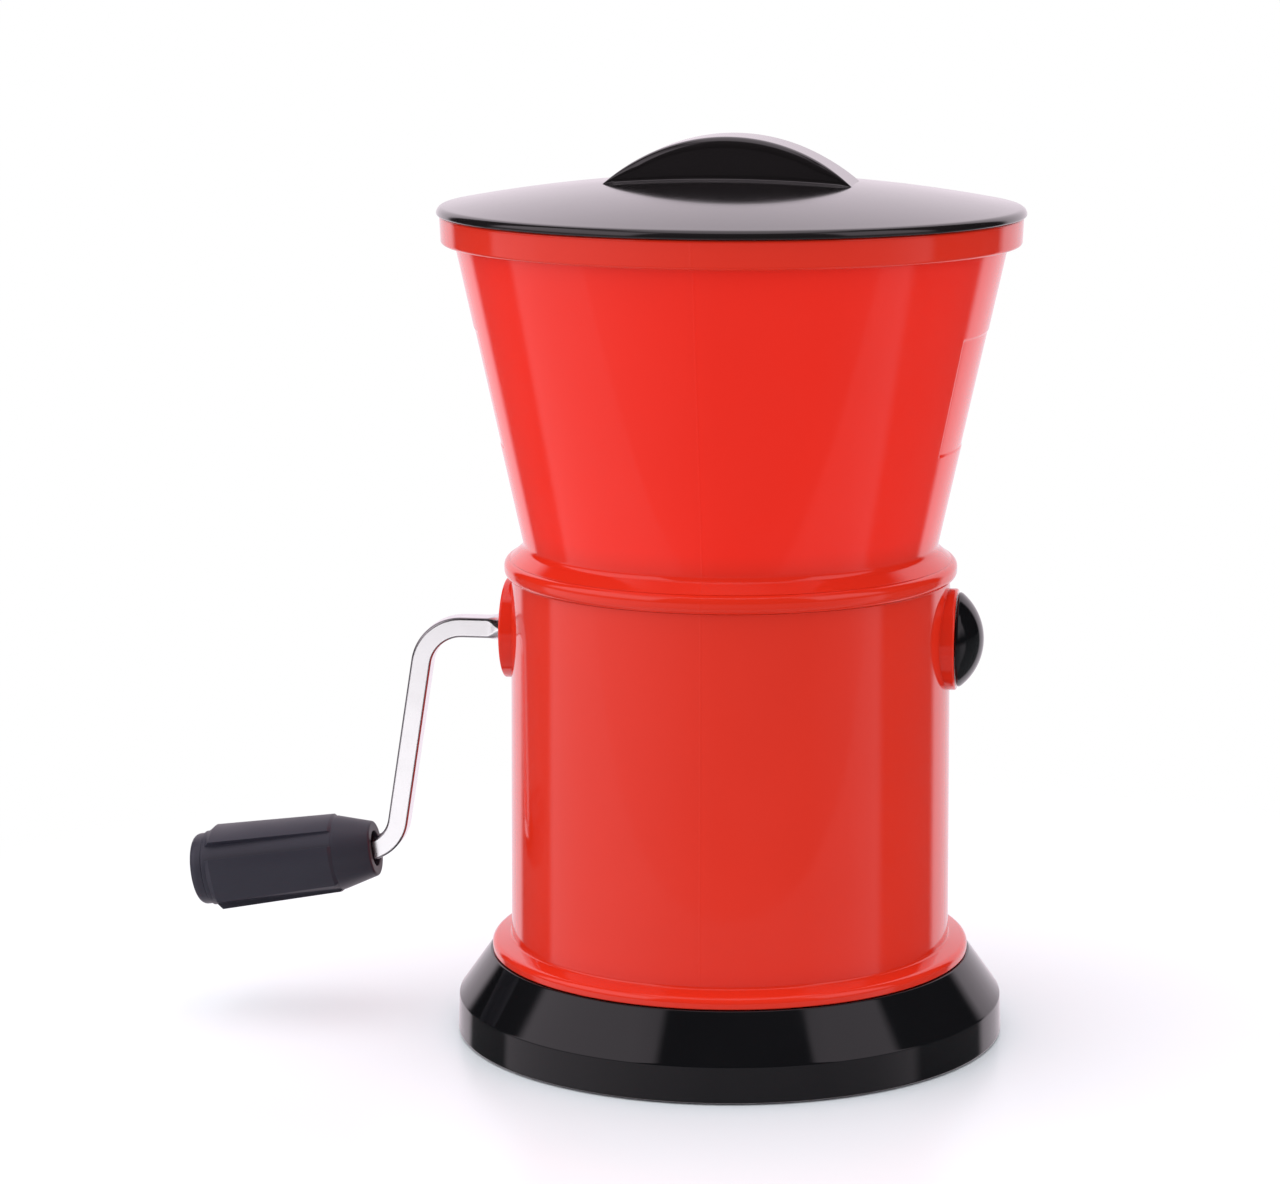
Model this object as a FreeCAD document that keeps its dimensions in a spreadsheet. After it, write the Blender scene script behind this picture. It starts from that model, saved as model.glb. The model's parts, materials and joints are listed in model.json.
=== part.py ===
"""Hand-cranked food mill: a hopper over a toothed rotor, on a base that collects what is cut.

Millimetres. The origin is the middle of the foot on the table, +Z is up, the cutter shaft
runs along X with the crank at -X, and the front faces -Y.
"""
import FreeCAD, Part
import math
import os
import Sketcher

doc = FreeCAD.newDocument("food_mill")
sheet = doc.addObject("Spreadsheet::Sheet", "Sizes")


class Size:
    """A length or angle together with the sheet expression that gives it."""

    def __init__(self, value, text):
        self.value = float(value)
        self.text = text

    @staticmethod
    def of(item):
        return item if isinstance(item, Size) else Size(item, "(%r)" % float(item))

    def __add__(self, other):
        other = Size.of(other)
        return Size(self.value + other.value, "(%s + %s)" % (self.text, other.text))

    def __sub__(self, other):
        other = Size.of(other)
        return Size(self.value - other.value, "(%s - %s)" % (self.text, other.text))

    def __rsub__(self, other):
        return Size.of(other) - self

    def __mul__(self, other):
        other = Size.of(other)
        return Size(self.value * other.value, "(%s * %s)" % (self.text, other.text))

    def __truediv__(self, other):
        other = Size.of(other)
        return Size(self.value / other.value, "(%s / %s)" % (self.text, other.text))

    def __neg__(self):
        return Size(-self.value, "(-%s)" % self.text)

    __radd__ = __add__
    __rmul__ = __mul__


def sin(angle):
    return Size(math.sin(math.radians(angle.value)), "sin(%s)" % angle.text)


def cos(angle):
    return Size(math.cos(math.radians(angle.value)), "cos(%s)" % angle.text)


def tan(angle):
    return Size(math.tan(math.radians(angle.value)), "tan(%s)" % angle.text)


def root(size):
    return Size(math.sqrt(size.value), "sqrt(%s)" % size.text)


next_row = 1


def size(alias, value):
    """Writes one driving size to the sheet and gives it back by name."""
    global next_row
    cell = "A%d" % next_row
    next_row += 1
    sheet.set(cell, str(value))
    sheet.setAlias(cell, alias)
    return Size(value, "Sizes." + alias)


# Fits between pieces that move on each other
play = size("play", 0.3)
running_fit = size("running_fit", 0.05)
seat_gap = size("seat_gap", 0.1)

# Shaft line
shaft_height = size("shaft_height", 94.3)

# Collecting base
skirt_radius = size("skirt_radius", 64.2)
skirt_top_radius = size("skirt_top_radius", 63.9)
skirt_height = size("skirt_height", 8.8)
skirt_lift = size("skirt_lift", 0.4)
cone_top_radius = size("cone_top_radius", 56.4)
base_height = size("base_height", 19.4)
base_wall = size("base_wall", 2.4)
spigot_radius = size("spigot_radius", 48.0)
spigot_top = size("spigot_top", 30.5)
spigot_wall = size("spigot_wall", 2.2)
cup_floor = size("cup_floor", 6.0)
cup_floor_wall = size("cup_floor_wall", 2.6)
foot_ring_inner = size("foot_ring_inner", 40.0)
foot_ring_outer = size("foot_ring_outer", 44.0)
foot_rib_low = size("foot_rib_low", 1.0)
lug_reach = size("lug_reach", 1.0)
lug_low = size("lug_low", 25.6)
lug_tall = size("lug_tall", 3.4)
lug_angle = size("lug_angle", 14.0)
lug_count = 3
twist_angle = size("twist_angle", 25.0)

# Body shell
body_radius = size("body_radius", 51.0)
body_wall = size("body_wall", 2.4)
body_draft = size("body_draft", 0.5)
flange_radius = size("flange_radius", 56.0)
flange_bottom = size("flange_bottom", 19.5)
flange_edge = size("flange_edge", 1.5)
flange_top = size("flange_top", 23.0)
bead_low = size("bead_low", 108.3)
bead_top = size("bead_top", 112.6)
bead_round = size("bead_round", 2.3)
neck_radius = size("neck_radius", 48.0)
neck_height = size("neck_height", 115.4)
neck_round = size("neck_round", 1.6)
hopper_radius = size("hopper_radius", 63.35)
hopper_top = size("hopper_top", 185.6)
rim_radius = size("rim_radius", 66.8)
rim_top = size("rim_top", 192.0)
rim_wall = size("rim_wall", 3.5)
floor_top = size("floor_top", 114.6)
floor_wall = size("floor_wall", 2.6)
throat_long = size("throat_long", 76.0)
throat_wide = size("throat_wide", 56.0)
throat_round = size("throat_round", 6.0)
boss_radius = size("boss_radius", 11.8)
boss_face = size("boss_face", 53.0)
boss_inner = size("boss_inner", 43.0)
panel_low = size("panel_low", 139.6)
panel_high = size("panel_high", 166.2)
panel_deep = size("panel_deep", 0.2)
panel_angle = size("panel_angle", 42.0)

# Combs and their posts
comb_thick = size("comb_thick", 2.0)
comb_half = size("comb_half", 37.5)
comb_near = size("comb_near", 8.4)
comb_far = size("comb_far", 36.0)
comb_round = size("comb_round", 47.4)
slot_wide = size("slot_wide", 3.2)
slot_deep = size("slot_deep", 16.6)
post_place = size("post_place", 30.0)
post_radius = size("post_radius", 4.2)
screw_radius = size("screw_radius", 1.45)
screw_long = size("screw_long", 9.0)
screw_head_radius = size("screw_head_radius", 3.2)
screw_head_tall = size("screw_head_tall", 2.2)

# Shaft, blades and spacers
journal_radius = size("journal_radius", 3.1)
end_journal_radius = size("end_journal_radius", 2.5)
thread_radius = size("thread_radius", 2.0)
thread_end = size("thread_end", 56.6)
flat_half = size("flat_half", 2.5)
stack_half = size("stack_half", 40.3)
bush_radius = size("bush_radius", 5.0)
bush_flange_radius = size("bush_flange_radius", 8.0)
bush_flange = size("bush_flange", 1.5)
washer_thick = size("washer_thick", 1.0)
washer_radius = size("washer_radius", 7.0)
blade_pitch = size("blade_pitch", 8.0)
blade_thick = size("blade_thick", 1.5)
blade_reach = size("blade_reach", 22.6)
blade_hub = size("blade_hub", 8.0)
blade_count = 8
blade_turn = 45.0
spacer_radius = size("spacer_radius", 6.5)

# Locking nut
nut_radius = size("nut_radius", 10.95)
nut_rim = size("nut_rim", 0.6)
nut_tip = size("nut_tip", 59.1)
insert_radius = size("insert_radius", 4.5)
insert_end = size("insert_end", 57.2)

# Crank arm
bar_thick = size("bar_thick", 4.8)
bar_wide = size("bar_wide", 5.3)
bar_round = size("bar_round", 0.6)
collar_end = size("collar_end", 57.0)
arm_reach = size("arm_reach", 71.9)
arm_drop = size("arm_drop", 53.9)
arm_lean = size("arm_lean", 8.9)
first_bend = size("first_bend", 10.0)
second_bend = size("second_bend", 9.0)
spindle_radius = size("spindle_radius", 2.5)

# Grip
grip_start = size("grip_start", 4.95)
grip_tilt = size("grip_tilt", 8.8)
grip_nose_radius = size("grip_nose_radius", 6.5)
grip_nose = size("grip_nose", 9.0)
grip_core_radius = size("grip_core_radius", 8.9)
grip_long = size("grip_long", 40.9)
grip_throat_radius = size("grip_throat_radius", 4.2)
grip_throat = size("grip_throat", 7.7)
grip_pocket_radius = size("grip_pocket_radius", 5.6)
grip_pocket = size("grip_pocket", 36.0)
pad_first_radius = size("pad_first_radius", 9.5)
pad_last_radius = size("pad_last_radius", 10.4)
pad_last = size("pad_last", 38.6)
pad_angle = size("pad_angle", 66.0)
pad_count = 4
pad_place = -10.0
cap_start = size("cap_start", 41.0)
cap_end = size("cap_end", 44.0)
cap_round = size("cap_round", 1.4)
retainer_radius = size("retainer_radius", 4.5)
retainer_thick = size("retainer_thick", 0.8)
rivet_radius = size("rivet_radius", 3.3)
rivet_tall = size("rivet_tall", 1.2)

# Lid
dome_top = size("dome_top", 200.4)
dome_edge_radius = size("dome_edge_radius", 66.3)
dome_edge = size("dome_edge", 194.05)
lid_radius = size("lid_radius", 67.5)
lid_bottom = size("lid_bottom", 192.1)
lid_wall = size("lid_wall", 2.4)
plug_radius = size("plug_radius", 62.8)
plug_wall = size("plug_wall", 2.0)
plug_low = size("plug_low", 187.4)
handle_round = size("handle_round", 42.5)
handle_top = size("handle_top", 210.1)
handle_foot = size("handle_foot", 198.2)
handle_wide = size("handle_wide", 18.0)
handle_wall = size("handle_wall", 2.4)

doc.recompute()


def new_body(name, x=None, z=None, turn=None):
    """A named body, moved along X and Z and turned about Y by sheet sizes."""
    made = doc.addObject("PartDesign::Body", name)
    made.Label = name
    if turn is not None:
        made.Placement.Rotation = FreeCAD.Rotation(FreeCAD.Vector(0, 1, 0), turn.value)
        made.setExpression("Placement.Rotation.Angle", turn.text)
    if x is not None:
        made.setExpression("Placement.Base.x", x.text)
    if z is not None:
        made.setExpression("Placement.Base.z", z.text)
    return made


def new_sketch(body, name, role, shift=None, turn=0.0, about=(0, 0, 1)):
    """A sketch on one of the body's own planes, shifted along its normal and turned."""
    made = body.newObject("Sketcher::SketchObject", name)
    base = [feature for feature in body.Origin.OriginFeatures if feature.Role == role]
    made.AttachmentSupport = [(base[0], "")]
    made.MapMode = "FlatFace"
    rotation = FreeCAD.Rotation(FreeCAD.Vector(*about), turn)
    made.AttachmentOffset = FreeCAD.Placement(FreeCAD.Vector(), rotation)
    if shift is not None:
        made.setExpression("AttachmentOffset.Base.z", Size.of(shift).text)
    return made


def fix(sketch, kind, size_, *where):
    """Adds one dimension to a sketch and binds it to the sheet."""
    size_ = Size.of(size_)
    index = sketch.addConstraint(Sketcher.Constraint(kind, *where, size_.value))
    name = "%s_%d" % (kind, index)
    sketch.renameConstraint(index, name)
    sketch.setExpression("Constraints." + name, size_.text)


def pin(sketch, x, y, index, end):
    """Holds one point of a sketch at x, y."""
    if Size.of(x).value == 0.0:
        sketch.addConstraint(Sketcher.Constraint("PointOnObject", index, end, -2))
    else:
        fix(sketch, "DistanceX", x, index, end)
    if Size.of(y).value == 0.0:
        sketch.addConstraint(Sketcher.Constraint("PointOnObject", index, end, -1))
    else:
        fix(sketch, "DistanceY", y, index, end)


def outline(sketch, corners, closed=True):
    """Draws sides from corner to corner.

    A corner is (x, y), or (x, y, radius, side) where the side that arrives there is an arc:
    side 1 turns left on the way, -1 turns right.
    """
    points = [FreeCAD.Vector(Size.of(c[0]).value, Size.of(c[1]).value, 0) for c in corners]
    sides = []
    for step in range(0 if closed else 1, len(corners)):
        start, end = points[step - 1], points[step]
        if len(corners[step]) == 2:
            index = sketch.addGeometry(Part.LineSegment(start, end), False)
            sides.append((index, 1, 2, step))
            continue
        radius, side = Size.of(corners[step][2]), corners[step][3]
        chord = end - start
        left = FreeCAD.Vector(-chord.y, chord.x, 0).normalize()
        rise = math.sqrt(radius.value ** 2 - (chord.Length / 2) ** 2)
        centre = (start + end) * 0.5 + left * rise * side
        ends = (start, end) if side > 0 else (end, start)
        angles = [math.atan2(p.y - centre.y, p.x - centre.x) for p in ends]
        ring = Part.Circle(centre, FreeCAD.Vector(0, 0, 1), radius.value)
        index = sketch.addGeometry(Part.ArcOfCircle(ring, *angles), False)
        sides.append((index, 1, 2, step) if side > 0 else (index, 2, 1, step))
    for number, (index, first, last, step) in enumerate(sides):
        if closed or number + 1 < len(sides):
            after = sides[(number + 1) % len(sides)]
            sketch.addConstraint(Sketcher.Constraint("Coincident", index, last, after[0], after[1]))
        pin(sketch, corners[step][0], corners[step][1], index, last)
        if len(corners[step]) == 4:
            fix(sketch, "Radius", corners[step][2], index)
    if not closed:
        pin(sketch, corners[0][0], corners[0][1], sides[0][0], sides[0][1])


def ring(sketch, x, y, radius):
    """Draws a full circle."""
    place = FreeCAD.Vector(Size.of(x).value, Size.of(y).value, 0)
    circle = Part.Circle(place, FreeCAD.Vector(0, 0, 1), Size.of(radius).value)
    index = sketch.addGeometry(circle, False)
    pin(sketch, x, y, index, 3)
    fix(sketch, "Radius", radius, index)


def box(sketch, x0, y0, x1, y1):
    """Draws a rectangle between two corners."""
    outline(sketch, [(x0, y0), (x1, y0), (x1, y1), (x0, y1)])


def round_box(sketch, half_x, half_y, radius):
    """Draws a rectangle with round corners about the origin."""
    inner_x = half_x - radius
    inner_y = half_y - radius
    outline(sketch, [
        (inner_x, -half_y),
        (half_x, -inner_y, radius, 1),
        (half_x, inner_y),
        (inner_x, half_y, radius, 1),
        (-inner_x, half_y),
        (-half_x, inner_y, radius, 1),
        (-half_x, -inner_y),
        (-inner_x, -half_y, radius, 1),
    ])


def pad(body, name, sketch, length, kind="PartDesign::Pad", both=False, back=False):
    """Extrudes a sketch, as a pad or a pocket, to one side or to both."""
    made = body.newObject(kind, name)
    made.Profile = sketch
    made.SideType = "Symmetric" if both else "One side"
    made.Reversed = back
    made.setExpression("Length", Size.of(length).text)
    body.Tip = made
    return made


def pocket(body, name, sketch, length, both=False, back=False):
    """Cuts a sketch out of a body."""
    return pad(body, name, sketch, length, "PartDesign::Pocket", both, back)


def turn(body, name, sketch, axis, angle=None, kind="PartDesign::Revolution"):
    """Revolves a sketch about its V_Axis or H_Axis, in full or by an angle to both sides."""
    made = body.newObject(kind, name)
    made.Profile = sketch
    made.ReferenceAxis = (sketch, [axis])
    if angle is None:
        made.Angle = 360
    else:
        made.Midplane = True
        made.setExpression("Angle", angle.text)
    body.Tip = made
    return made


def repeat(body, name, feature, axis, count):
    """Repeats a feature evenly all the way round one of the body's origin axes."""
    made = body.newObject("PartDesign::PolarPattern", name)
    made.Originals = [feature]
    base = [item for item in body.Origin.OriginFeatures if item.Role == axis]
    made.Axis = (base[0], [""])
    made.Angle = 360
    made.Occurrences = count
    body.Tip = made
    return made


def soften(body, name, feature, chosen, radius, kind="PartDesign::Fillet"):
    """Rounds, or bevels, the edges of a feature that the test picks."""
    doc.recompute()
    names = ["Edge%d" % (n + 1) for n, edge in enumerate(feature.Shape.Edges) if chosen(edge)]
    made = body.newObject(kind, name)
    made.Base = (feature, names)
    made.setExpression("Radius" if kind.endswith("Fillet") else "Size", Size.of(radius).text)
    body.Tip = made
    return made


def circle_at(radius, height, axis="z"):
    """A test for the circular edges of one radius at one place along an axis."""

    def chosen(edge):
        if edge.Degenerated or not isinstance(edge.Curve, Part.Circle):
            return False
        near = abs(edge.Curve.Radius - radius.value) < 0.02
        return near and abs(getattr(edge.Curve.Center, axis) - height.value) < 0.02

    return chosen


# Collecting base: skirt and cone outside, cup and spigot inside, open from below
collecting_base = new_body("collecting_base")
shell = new_sketch(collecting_base, "base_section", "XZ_Plane")
cup_radius = spigot_radius - spigot_wall
cup_under = cup_floor - cup_floor_wall
rib = foot_ring_inner - 1.6
outline(shell, [
    (skirt_radius, skirt_lift),
    (skirt_top_radius, skirt_height),
    (cone_top_radius, base_height),
    (spigot_radius, base_height),
    (spigot_radius, spigot_top),
    (cup_radius, spigot_top),
    (cup_radius, cup_floor),
    (0, cup_floor),
    (0, cup_under),
    (rib, cup_under),
    (rib, foot_rib_low),
    (foot_ring_inner, foot_rib_low),
    (foot_ring_inner, cup_under),
    (foot_ring_outer, cup_under),
    (foot_ring_outer, foot_rib_low),
    (spigot_radius, foot_rib_low),
    (spigot_radius, base_height - base_wall),
    (cone_top_radius - base_wall * 0.55, base_height - base_wall),
    (skirt_top_radius - base_wall, skirt_height - base_wall * 0.3),
    (skirt_radius - base_wall, skirt_lift),
])
base_turn = turn(collecting_base, "base_turn", shell, "V_Axis")
base_edge = soften(collecting_base, "base_edge", base_turn,
                   circle_at(skirt_top_radius, skirt_height), 0.7)
lug = new_sketch(collecting_base, "lug_section", "XZ_Plane")
box(lug, spigot_radius - 1.0, lug_low, spigot_radius + lug_reach, lug_low + lug_tall)
lug_turn = turn(collecting_base, "lug_turn", lug, "V_Axis", lug_angle)
repeat(collecting_base, "lugs", lug_turn, "Z_Axis", lug_count)

# Rubber ring in the groove under the cup: the part of the base that meets the table
foot_ring = new_body("foot_ring")
foot = new_sketch(foot_ring, "foot_section", "XZ_Plane")
box(foot, foot_ring_inner, 0, foot_ring_outer, cup_under)
foot_turn = turn(foot_ring, "foot_turn", foot, "V_Axis")
foot_edges = [circle_at(foot_ring_inner, Size.of(0)), circle_at(foot_ring_outer, Size.of(0))]
soften(foot_ring, "foot_edge", foot_turn, lambda edge: any(test(edge) for test in foot_edges), 0.4)

# Body shell: flange, cylinder, bead, hopper and rim as one turned section
body_shell = new_body("body_shell")
section = new_sketch(body_shell, "body_section", "XZ_Plane")
inside = body_radius - body_wall
rim_inside = rim_radius - rim_wall
outline(section, [
    (flange_radius, flange_bottom),
    (flange_radius, flange_bottom + flange_edge),
    (flange_radius - 1.6, flange_top - 0.8, 1.6, 1),
    (body_radius + body_draft, flange_top),
    (body_radius, bead_low),
    (body_radius + 0.3, bead_top, bead_round, 1),
    (neck_radius, neck_height),
    (hopper_radius, hopper_top),
    (rim_radius - 0.3, hopper_top),
    (rim_radius, rim_top),
    (rim_inside, rim_top),
    (rim_inside, hopper_top + 0.6),
    (hopper_radius - body_wall - 0.4, hopper_top - 1.6),
    (neck_radius - body_wall, floor_top),
    (0, floor_top),
    (0, floor_top - floor_wall),
    (inside, floor_top - floor_wall),
    (inside, flange_bottom),
])
body_turn = turn(body_shell, "body_turn", section, "V_Axis")
neck_edge = soften(body_shell, "neck_edge", body_turn,
                   circle_at(neck_radius, neck_height), neck_round)
rim_edge = soften(body_shell, "rim_edge", neck_edge, circle_at(rim_radius - 0.3, hopper_top), 0.6)

# Boss on each side of the body for the shaft, with a bore for its bush
boss = new_sketch(body_shell, "boss_outline", "YZ_Plane", boss_inner)
ring(boss, 0, shaft_height, boss_radius)
boss_pad = pad(body_shell, "boss_right", boss, boss_face - boss_inner)
other = new_sketch(body_shell, "other_boss_outline", "YZ_Plane", -boss_inner)
ring(other, 0, shaft_height, boss_radius)
other_pad = pad(body_shell, "boss_left", other, boss_face - boss_inner, back=True)
soften(body_shell, "boss_edges", other_pad,
       lambda edge: circle_at(boss_radius, boss_face, "x")(edge)
       or circle_at(boss_radius, -boss_face, "x")(edge), 0.5)
bore = new_sketch(body_shell, "bush_bore", "YZ_Plane")
ring(bore, 0, shaft_height, bush_radius)
pocket(body_shell, "bush_bores", bore, boss_face * 2 + 4, both=True)

# Posts that carry the combs, hanging from the floor of the hopper
post_low = shaft_height + comb_thick / 2
posts = new_sketch(body_shell, "post_outlines", "XY_Plane", post_low)
holes = new_sketch(body_shell, "post_holes", "XY_Plane", post_low)
for side_x in (-1, 1):
    for side_y in (-1, 1):
        ring(posts, post_place * side_x, post_place * side_y, post_radius)
        ring(holes, post_place * side_x, post_place * side_y, screw_radius)
pad(body_shell, "posts", posts, floor_top - floor_wall / 2 - post_low)
pocket(body_shell, "screw_holes", holes, screw_long, back=True)

# Throat above the rotor
throat = new_sketch(body_shell, "throat_outline", "XY_Plane", floor_top)
round_box(throat, throat_long / 2, throat_wide / 2, throat_round)
pocket(body_shell, "throat", throat, floor_wall * 2)

# Three L-shaped ways inside the foot for the lugs of the base: a way in and a way round
way_top = lug_low + lug_tall + play
way_deep = spigot_radius + lug_reach + play + 0.1
way_wide = lug_angle + 1.4
round_way = new_sketch(body_shell, "round_way", "XZ_Plane",
                       turn=-twist_angle.value / 2, about=(0, 1, 0))
box(round_way, inside - 1.0, lug_low - play, way_deep, way_top)
round_cut = turn(body_shell, "round_way_cut", round_way, "V_Axis", way_wide + twist_angle,
                 "PartDesign::Groove")
repeat(body_shell, "round_ways", round_cut, "Z_Axis", lug_count)
way_in = new_sketch(body_shell, "way_in", "XZ_Plane", turn=-twist_angle.value, about=(0, 1, 0))
box(way_in, inside - 1.0, flange_bottom - 1.0, way_deep, way_top)
in_cut = turn(body_shell, "way_in_cut", way_in, "V_Axis", way_wide, "PartDesign::Groove")
repeat(body_shell, "ways_in", in_cut, "Z_Axis", lug_count)

# Shallow bare panel on each side of the hopper
lean = (hopper_radius - neck_radius) / (hopper_top - neck_height)
panel = new_sketch(body_shell, "panel_section", "XZ_Plane")
low_radius = neck_radius + lean * (panel_low - neck_height)
high_radius = neck_radius + lean * (panel_high - neck_height)
outline(panel, [
    (low_radius - panel_deep, panel_low),
    (low_radius + 2.0, panel_low),
    (high_radius + 2.0, panel_high),
    (high_radius - panel_deep, panel_high),
])
panel_cut = turn(body_shell, "panel_cut", panel, "V_Axis", panel_angle, "PartDesign::Groove")
repeat(body_shell, "panels", panel_cut, "Z_Axis", 2)


def bush(name, side, bore_radius):
    """A flanged bush for one boss, with its flange inside the body."""
    made = new_body(name, z=shaft_height)
    drawn = new_sketch(made, name + "_section", "XZ_Plane")
    bore_wall = bore_radius + running_fit
    outline(drawn, [
        (boss_face * side, bore_wall),
        (boss_face * side, bush_radius),
        (boss_inner * side, bush_radius),
        (boss_inner * side, bush_flange_radius),
        ((boss_inner - bush_flange) * side, bush_flange_radius),
        ((boss_inner - bush_flange) * side, bore_wall),
    ])
    turn(made, name + "_turn", drawn, "H_Axis")
    return made


bush_left = bush("bush_left", -1, journal_radius)
bush_right = bush("bush_right", 1, end_journal_radius)


def comb(name, half_turn):
    """A flat toothed comb: a plate with a slot for every blade, screwed under two posts."""
    made = new_body(name, z=shaft_height)
    made.Placement.Rotation = FreeCAD.Rotation(FreeCAD.Vector(0, 0, 1), half_turn)
    drawn = new_sketch(made, name + "_outline", "XY_Plane", -comb_thick / 2)
    corner_y = -root(comb_round * comb_round - comb_half * comb_half)
    corner_x = root(comb_round * comb_round - comb_far * comb_far)
    outline(drawn, [
        (-comb_half, -comb_near),
        (-comb_half, corner_y),
        (-corner_x, -comb_far, comb_round, 1),
        (corner_x, -comb_far),
        (comb_half, corner_y, comb_round, 1),
        (comb_half, -comb_near),
    ])
    pad(made, name + "_plate", drawn, comb_thick)
    slots = new_sketch(made, name + "_slots", "XY_Plane", -comb_thick / 2)
    for number in range(blade_count):
        middle = blade_pitch * (number - (blade_count - 1) / 2)
        box(slots, middle - slot_wide / 2, -comb_near - slot_deep,
            middle + slot_wide / 2, -comb_near + 1.0)
    pocket(made, name + "_slot_cuts", slots, comb_thick * 2, back=True)
    drilled = new_sketch(made, name + "_holes", "XY_Plane", -comb_thick / 2)
    for side in (-1, 1):
        ring(drilled, post_place * side, -post_place, screw_radius + 0.2)
    pocket(made, name + "_hole_cuts", drilled, comb_thick * 2, back=True)
    return made


comb_front = comb("comb_front", 0)
comb_rear = comb("comb_rear", 180)

# Four screws that hold the combs up against the posts
comb_screws = new_body("comb_screws", z=shaft_height)
comb_screws.AllowCompound = True
heads = new_sketch(comb_screws, "screw_heads", "XY_Plane", -comb_thick / 2 - screw_head_tall)
shanks = new_sketch(comb_screws, "screw_shanks", "XY_Plane", -comb_thick / 2 - screw_head_tall / 2)
for side_x in (-1, 1):
    for side_y in (-1, 1):
        ring(heads, post_place * side_x, post_place * side_y, screw_head_radius)
        ring(shanks, post_place * side_x, post_place * side_y, screw_radius)
head_pad = pad(comb_screws, "heads", heads, screw_head_tall)
shank_pad = pad(comb_screws, "shanks", shanks, screw_head_tall / 2 + comb_thick + screw_long - 0.6)
soften(comb_screws, "head_edges", shank_pad,
       circle_at(screw_head_radius, -comb_thick / 2 - screw_head_tall), 0.9)


def drive_hole(body, name, plane_shift, length):
    """Cuts the hole with two flats through which the shaft drives a blade or spacer."""
    drawn = new_sketch(body, name, "YZ_Plane", plane_shift)
    half = flat_half + running_fit
    wide = journal_radius + running_fit
    reach = root(wide * wide - half * half)
    outline(drawn, [(-reach, half), (-reach, -half, wide, 1), (reach, -half), (reach, half, wide, 1)])
    return pocket(body, name + "_cut", drawn, length, back=True)


def blade(number):
    """A two-armed hooked blade, turned a step further than the one before it."""
    name = "rotor_blade_%d" % (number + 1)
    place = blade_pitch * (number - (blade_count - 1) / 2) - blade_thick / 2
    made = new_body(name, x=place, z=shaft_height)
    drawn = new_sketch(made, name + "_outline", "YZ_Plane", turn=blade_turn * number)
    outline(drawn, [
        (-blade_hub, -3.0, 20.0, 1),
        (-2.5, -blade_reach, 26.0, 1),
        (3.0, -blade_reach),
        (blade_hub, -3.0, 30.0, -1),
        (blade_hub, 3.0, 20.0, 1),
        (2.5, blade_reach, 26.0, 1),
        (-3.0, blade_reach),
        (-blade_hub, 3.0, 30.0, -1),
    ])
    pad(made, name + "_plate", drawn, blade_thick)
    drive_hole(made, name + "_hole", None, blade_thick * 2)
    return made


def spacer(name, start, end):
    """A round spacer on the flats of the shaft."""
    made = new_body(name, x=start, z=shaft_height)
    drawn = new_sketch(made, name + "_outline", "YZ_Plane")
    ring(drawn, 0, 0, spacer_radius)
    pad(made, name + "_round", drawn, end - start)
    drive_hole(made, name + "_hole", None, (end - start) * 2)
    return made


rotor_blades = [blade(number) for number in range(blade_count)]
half_stack = blade_pitch * ((blade_count - 1) / 2) + blade_thick / 2
blade_spacers = []
for number in range(blade_count - 1):
    start = blade_pitch * (number - (blade_count - 1) / 2) + blade_thick / 2
    blade_spacers.append(spacer("blade_spacer_%d" % (number + 1), start,
                                start + blade_pitch - blade_thick))
blade_spacers.append(spacer("end_spacer_left", -stack_half, -half_stack))
blade_spacers.append(spacer("end_spacer_right", half_stack, stack_half))


def washer(name, start, bore_radius):
    """A thrust washer between the stack and a bush."""
    made = new_body(name, x=start, z=shaft_height)
    drawn = new_sketch(made, name + "_outline", "YZ_Plane")
    ring(drawn, 0, 0, washer_radius)
    ring(drawn, 0, 0, bore_radius + running_fit)
    pad(made, name + "_plate", drawn, washer_thick)
    return made


thrust_washer_left = washer("thrust_washer_left", -stack_half - washer_thick, journal_radius)
thrust_washer_right = washer("thrust_washer_right", stack_half, end_journal_radius)

# Crank rod: shaft with flats, collar, flattened and bent arm, spindle with a riveted end
crank_rod = new_body("crank_rod", z=shaft_height)
shaft = new_sketch(crank_rod, "shaft_section", "XZ_Plane")
outline(shaft, [
    (-collar_end, 0),
    (thread_end, 0),
    (thread_end, thread_radius - 0.4),
    (thread_end - 0.4, thread_radius),
    (boss_face + seat_gap * 2, thread_radius),
    (boss_face + seat_gap * 2, end_journal_radius),
    (stack_half, end_journal_radius),
    (stack_half, journal_radius),
    (-collar_end, journal_radius),
])
turn(crank_rod, "shaft_turn", shaft, "H_Axis")
flats = new_sketch(crank_rod, "shaft_flats", "YZ_Plane", -stack_half)
for side in (-1, 1):
    box(flats, -journal_radius - 1.0, flat_half * side,
        journal_radius + 1.0, (journal_radius + 1.0) * side)
pocket(crank_rod, "flats", flats, stack_half * 2, back=True)
first_run = first_bend * tan((90.0 - arm_lean) / 2)
second_run = second_bend * tan((90.0 - arm_lean - grip_tilt) / 2)
elbow_x = -arm_reach - arm_drop * tan(arm_lean)
spindle_step = grip_start + grip_throat - seat_gap
path = new_sketch(crank_rod, "arm_path", "XZ_Plane")
outline(path, [
    (-boss_face - 1.0, 0),
    (first_run - arm_reach, 0),
    (-arm_reach - first_run * sin(arm_lean), -first_run * cos(arm_lean), first_bend, 1),
    (elbow_x + second_run * sin(arm_lean), second_run * cos(arm_lean) - arm_drop),
    (elbow_x - second_run * cos(grip_tilt), -arm_drop - second_run * sin(grip_tilt),
     second_bend, -1),
    (elbow_x - spindle_step * cos(grip_tilt), -arm_drop - spindle_step * sin(grip_tilt)),
], closed=False)
bar = new_sketch(crank_rod, "bar_section", "YZ_Plane", -boss_face - 1.0)
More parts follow.
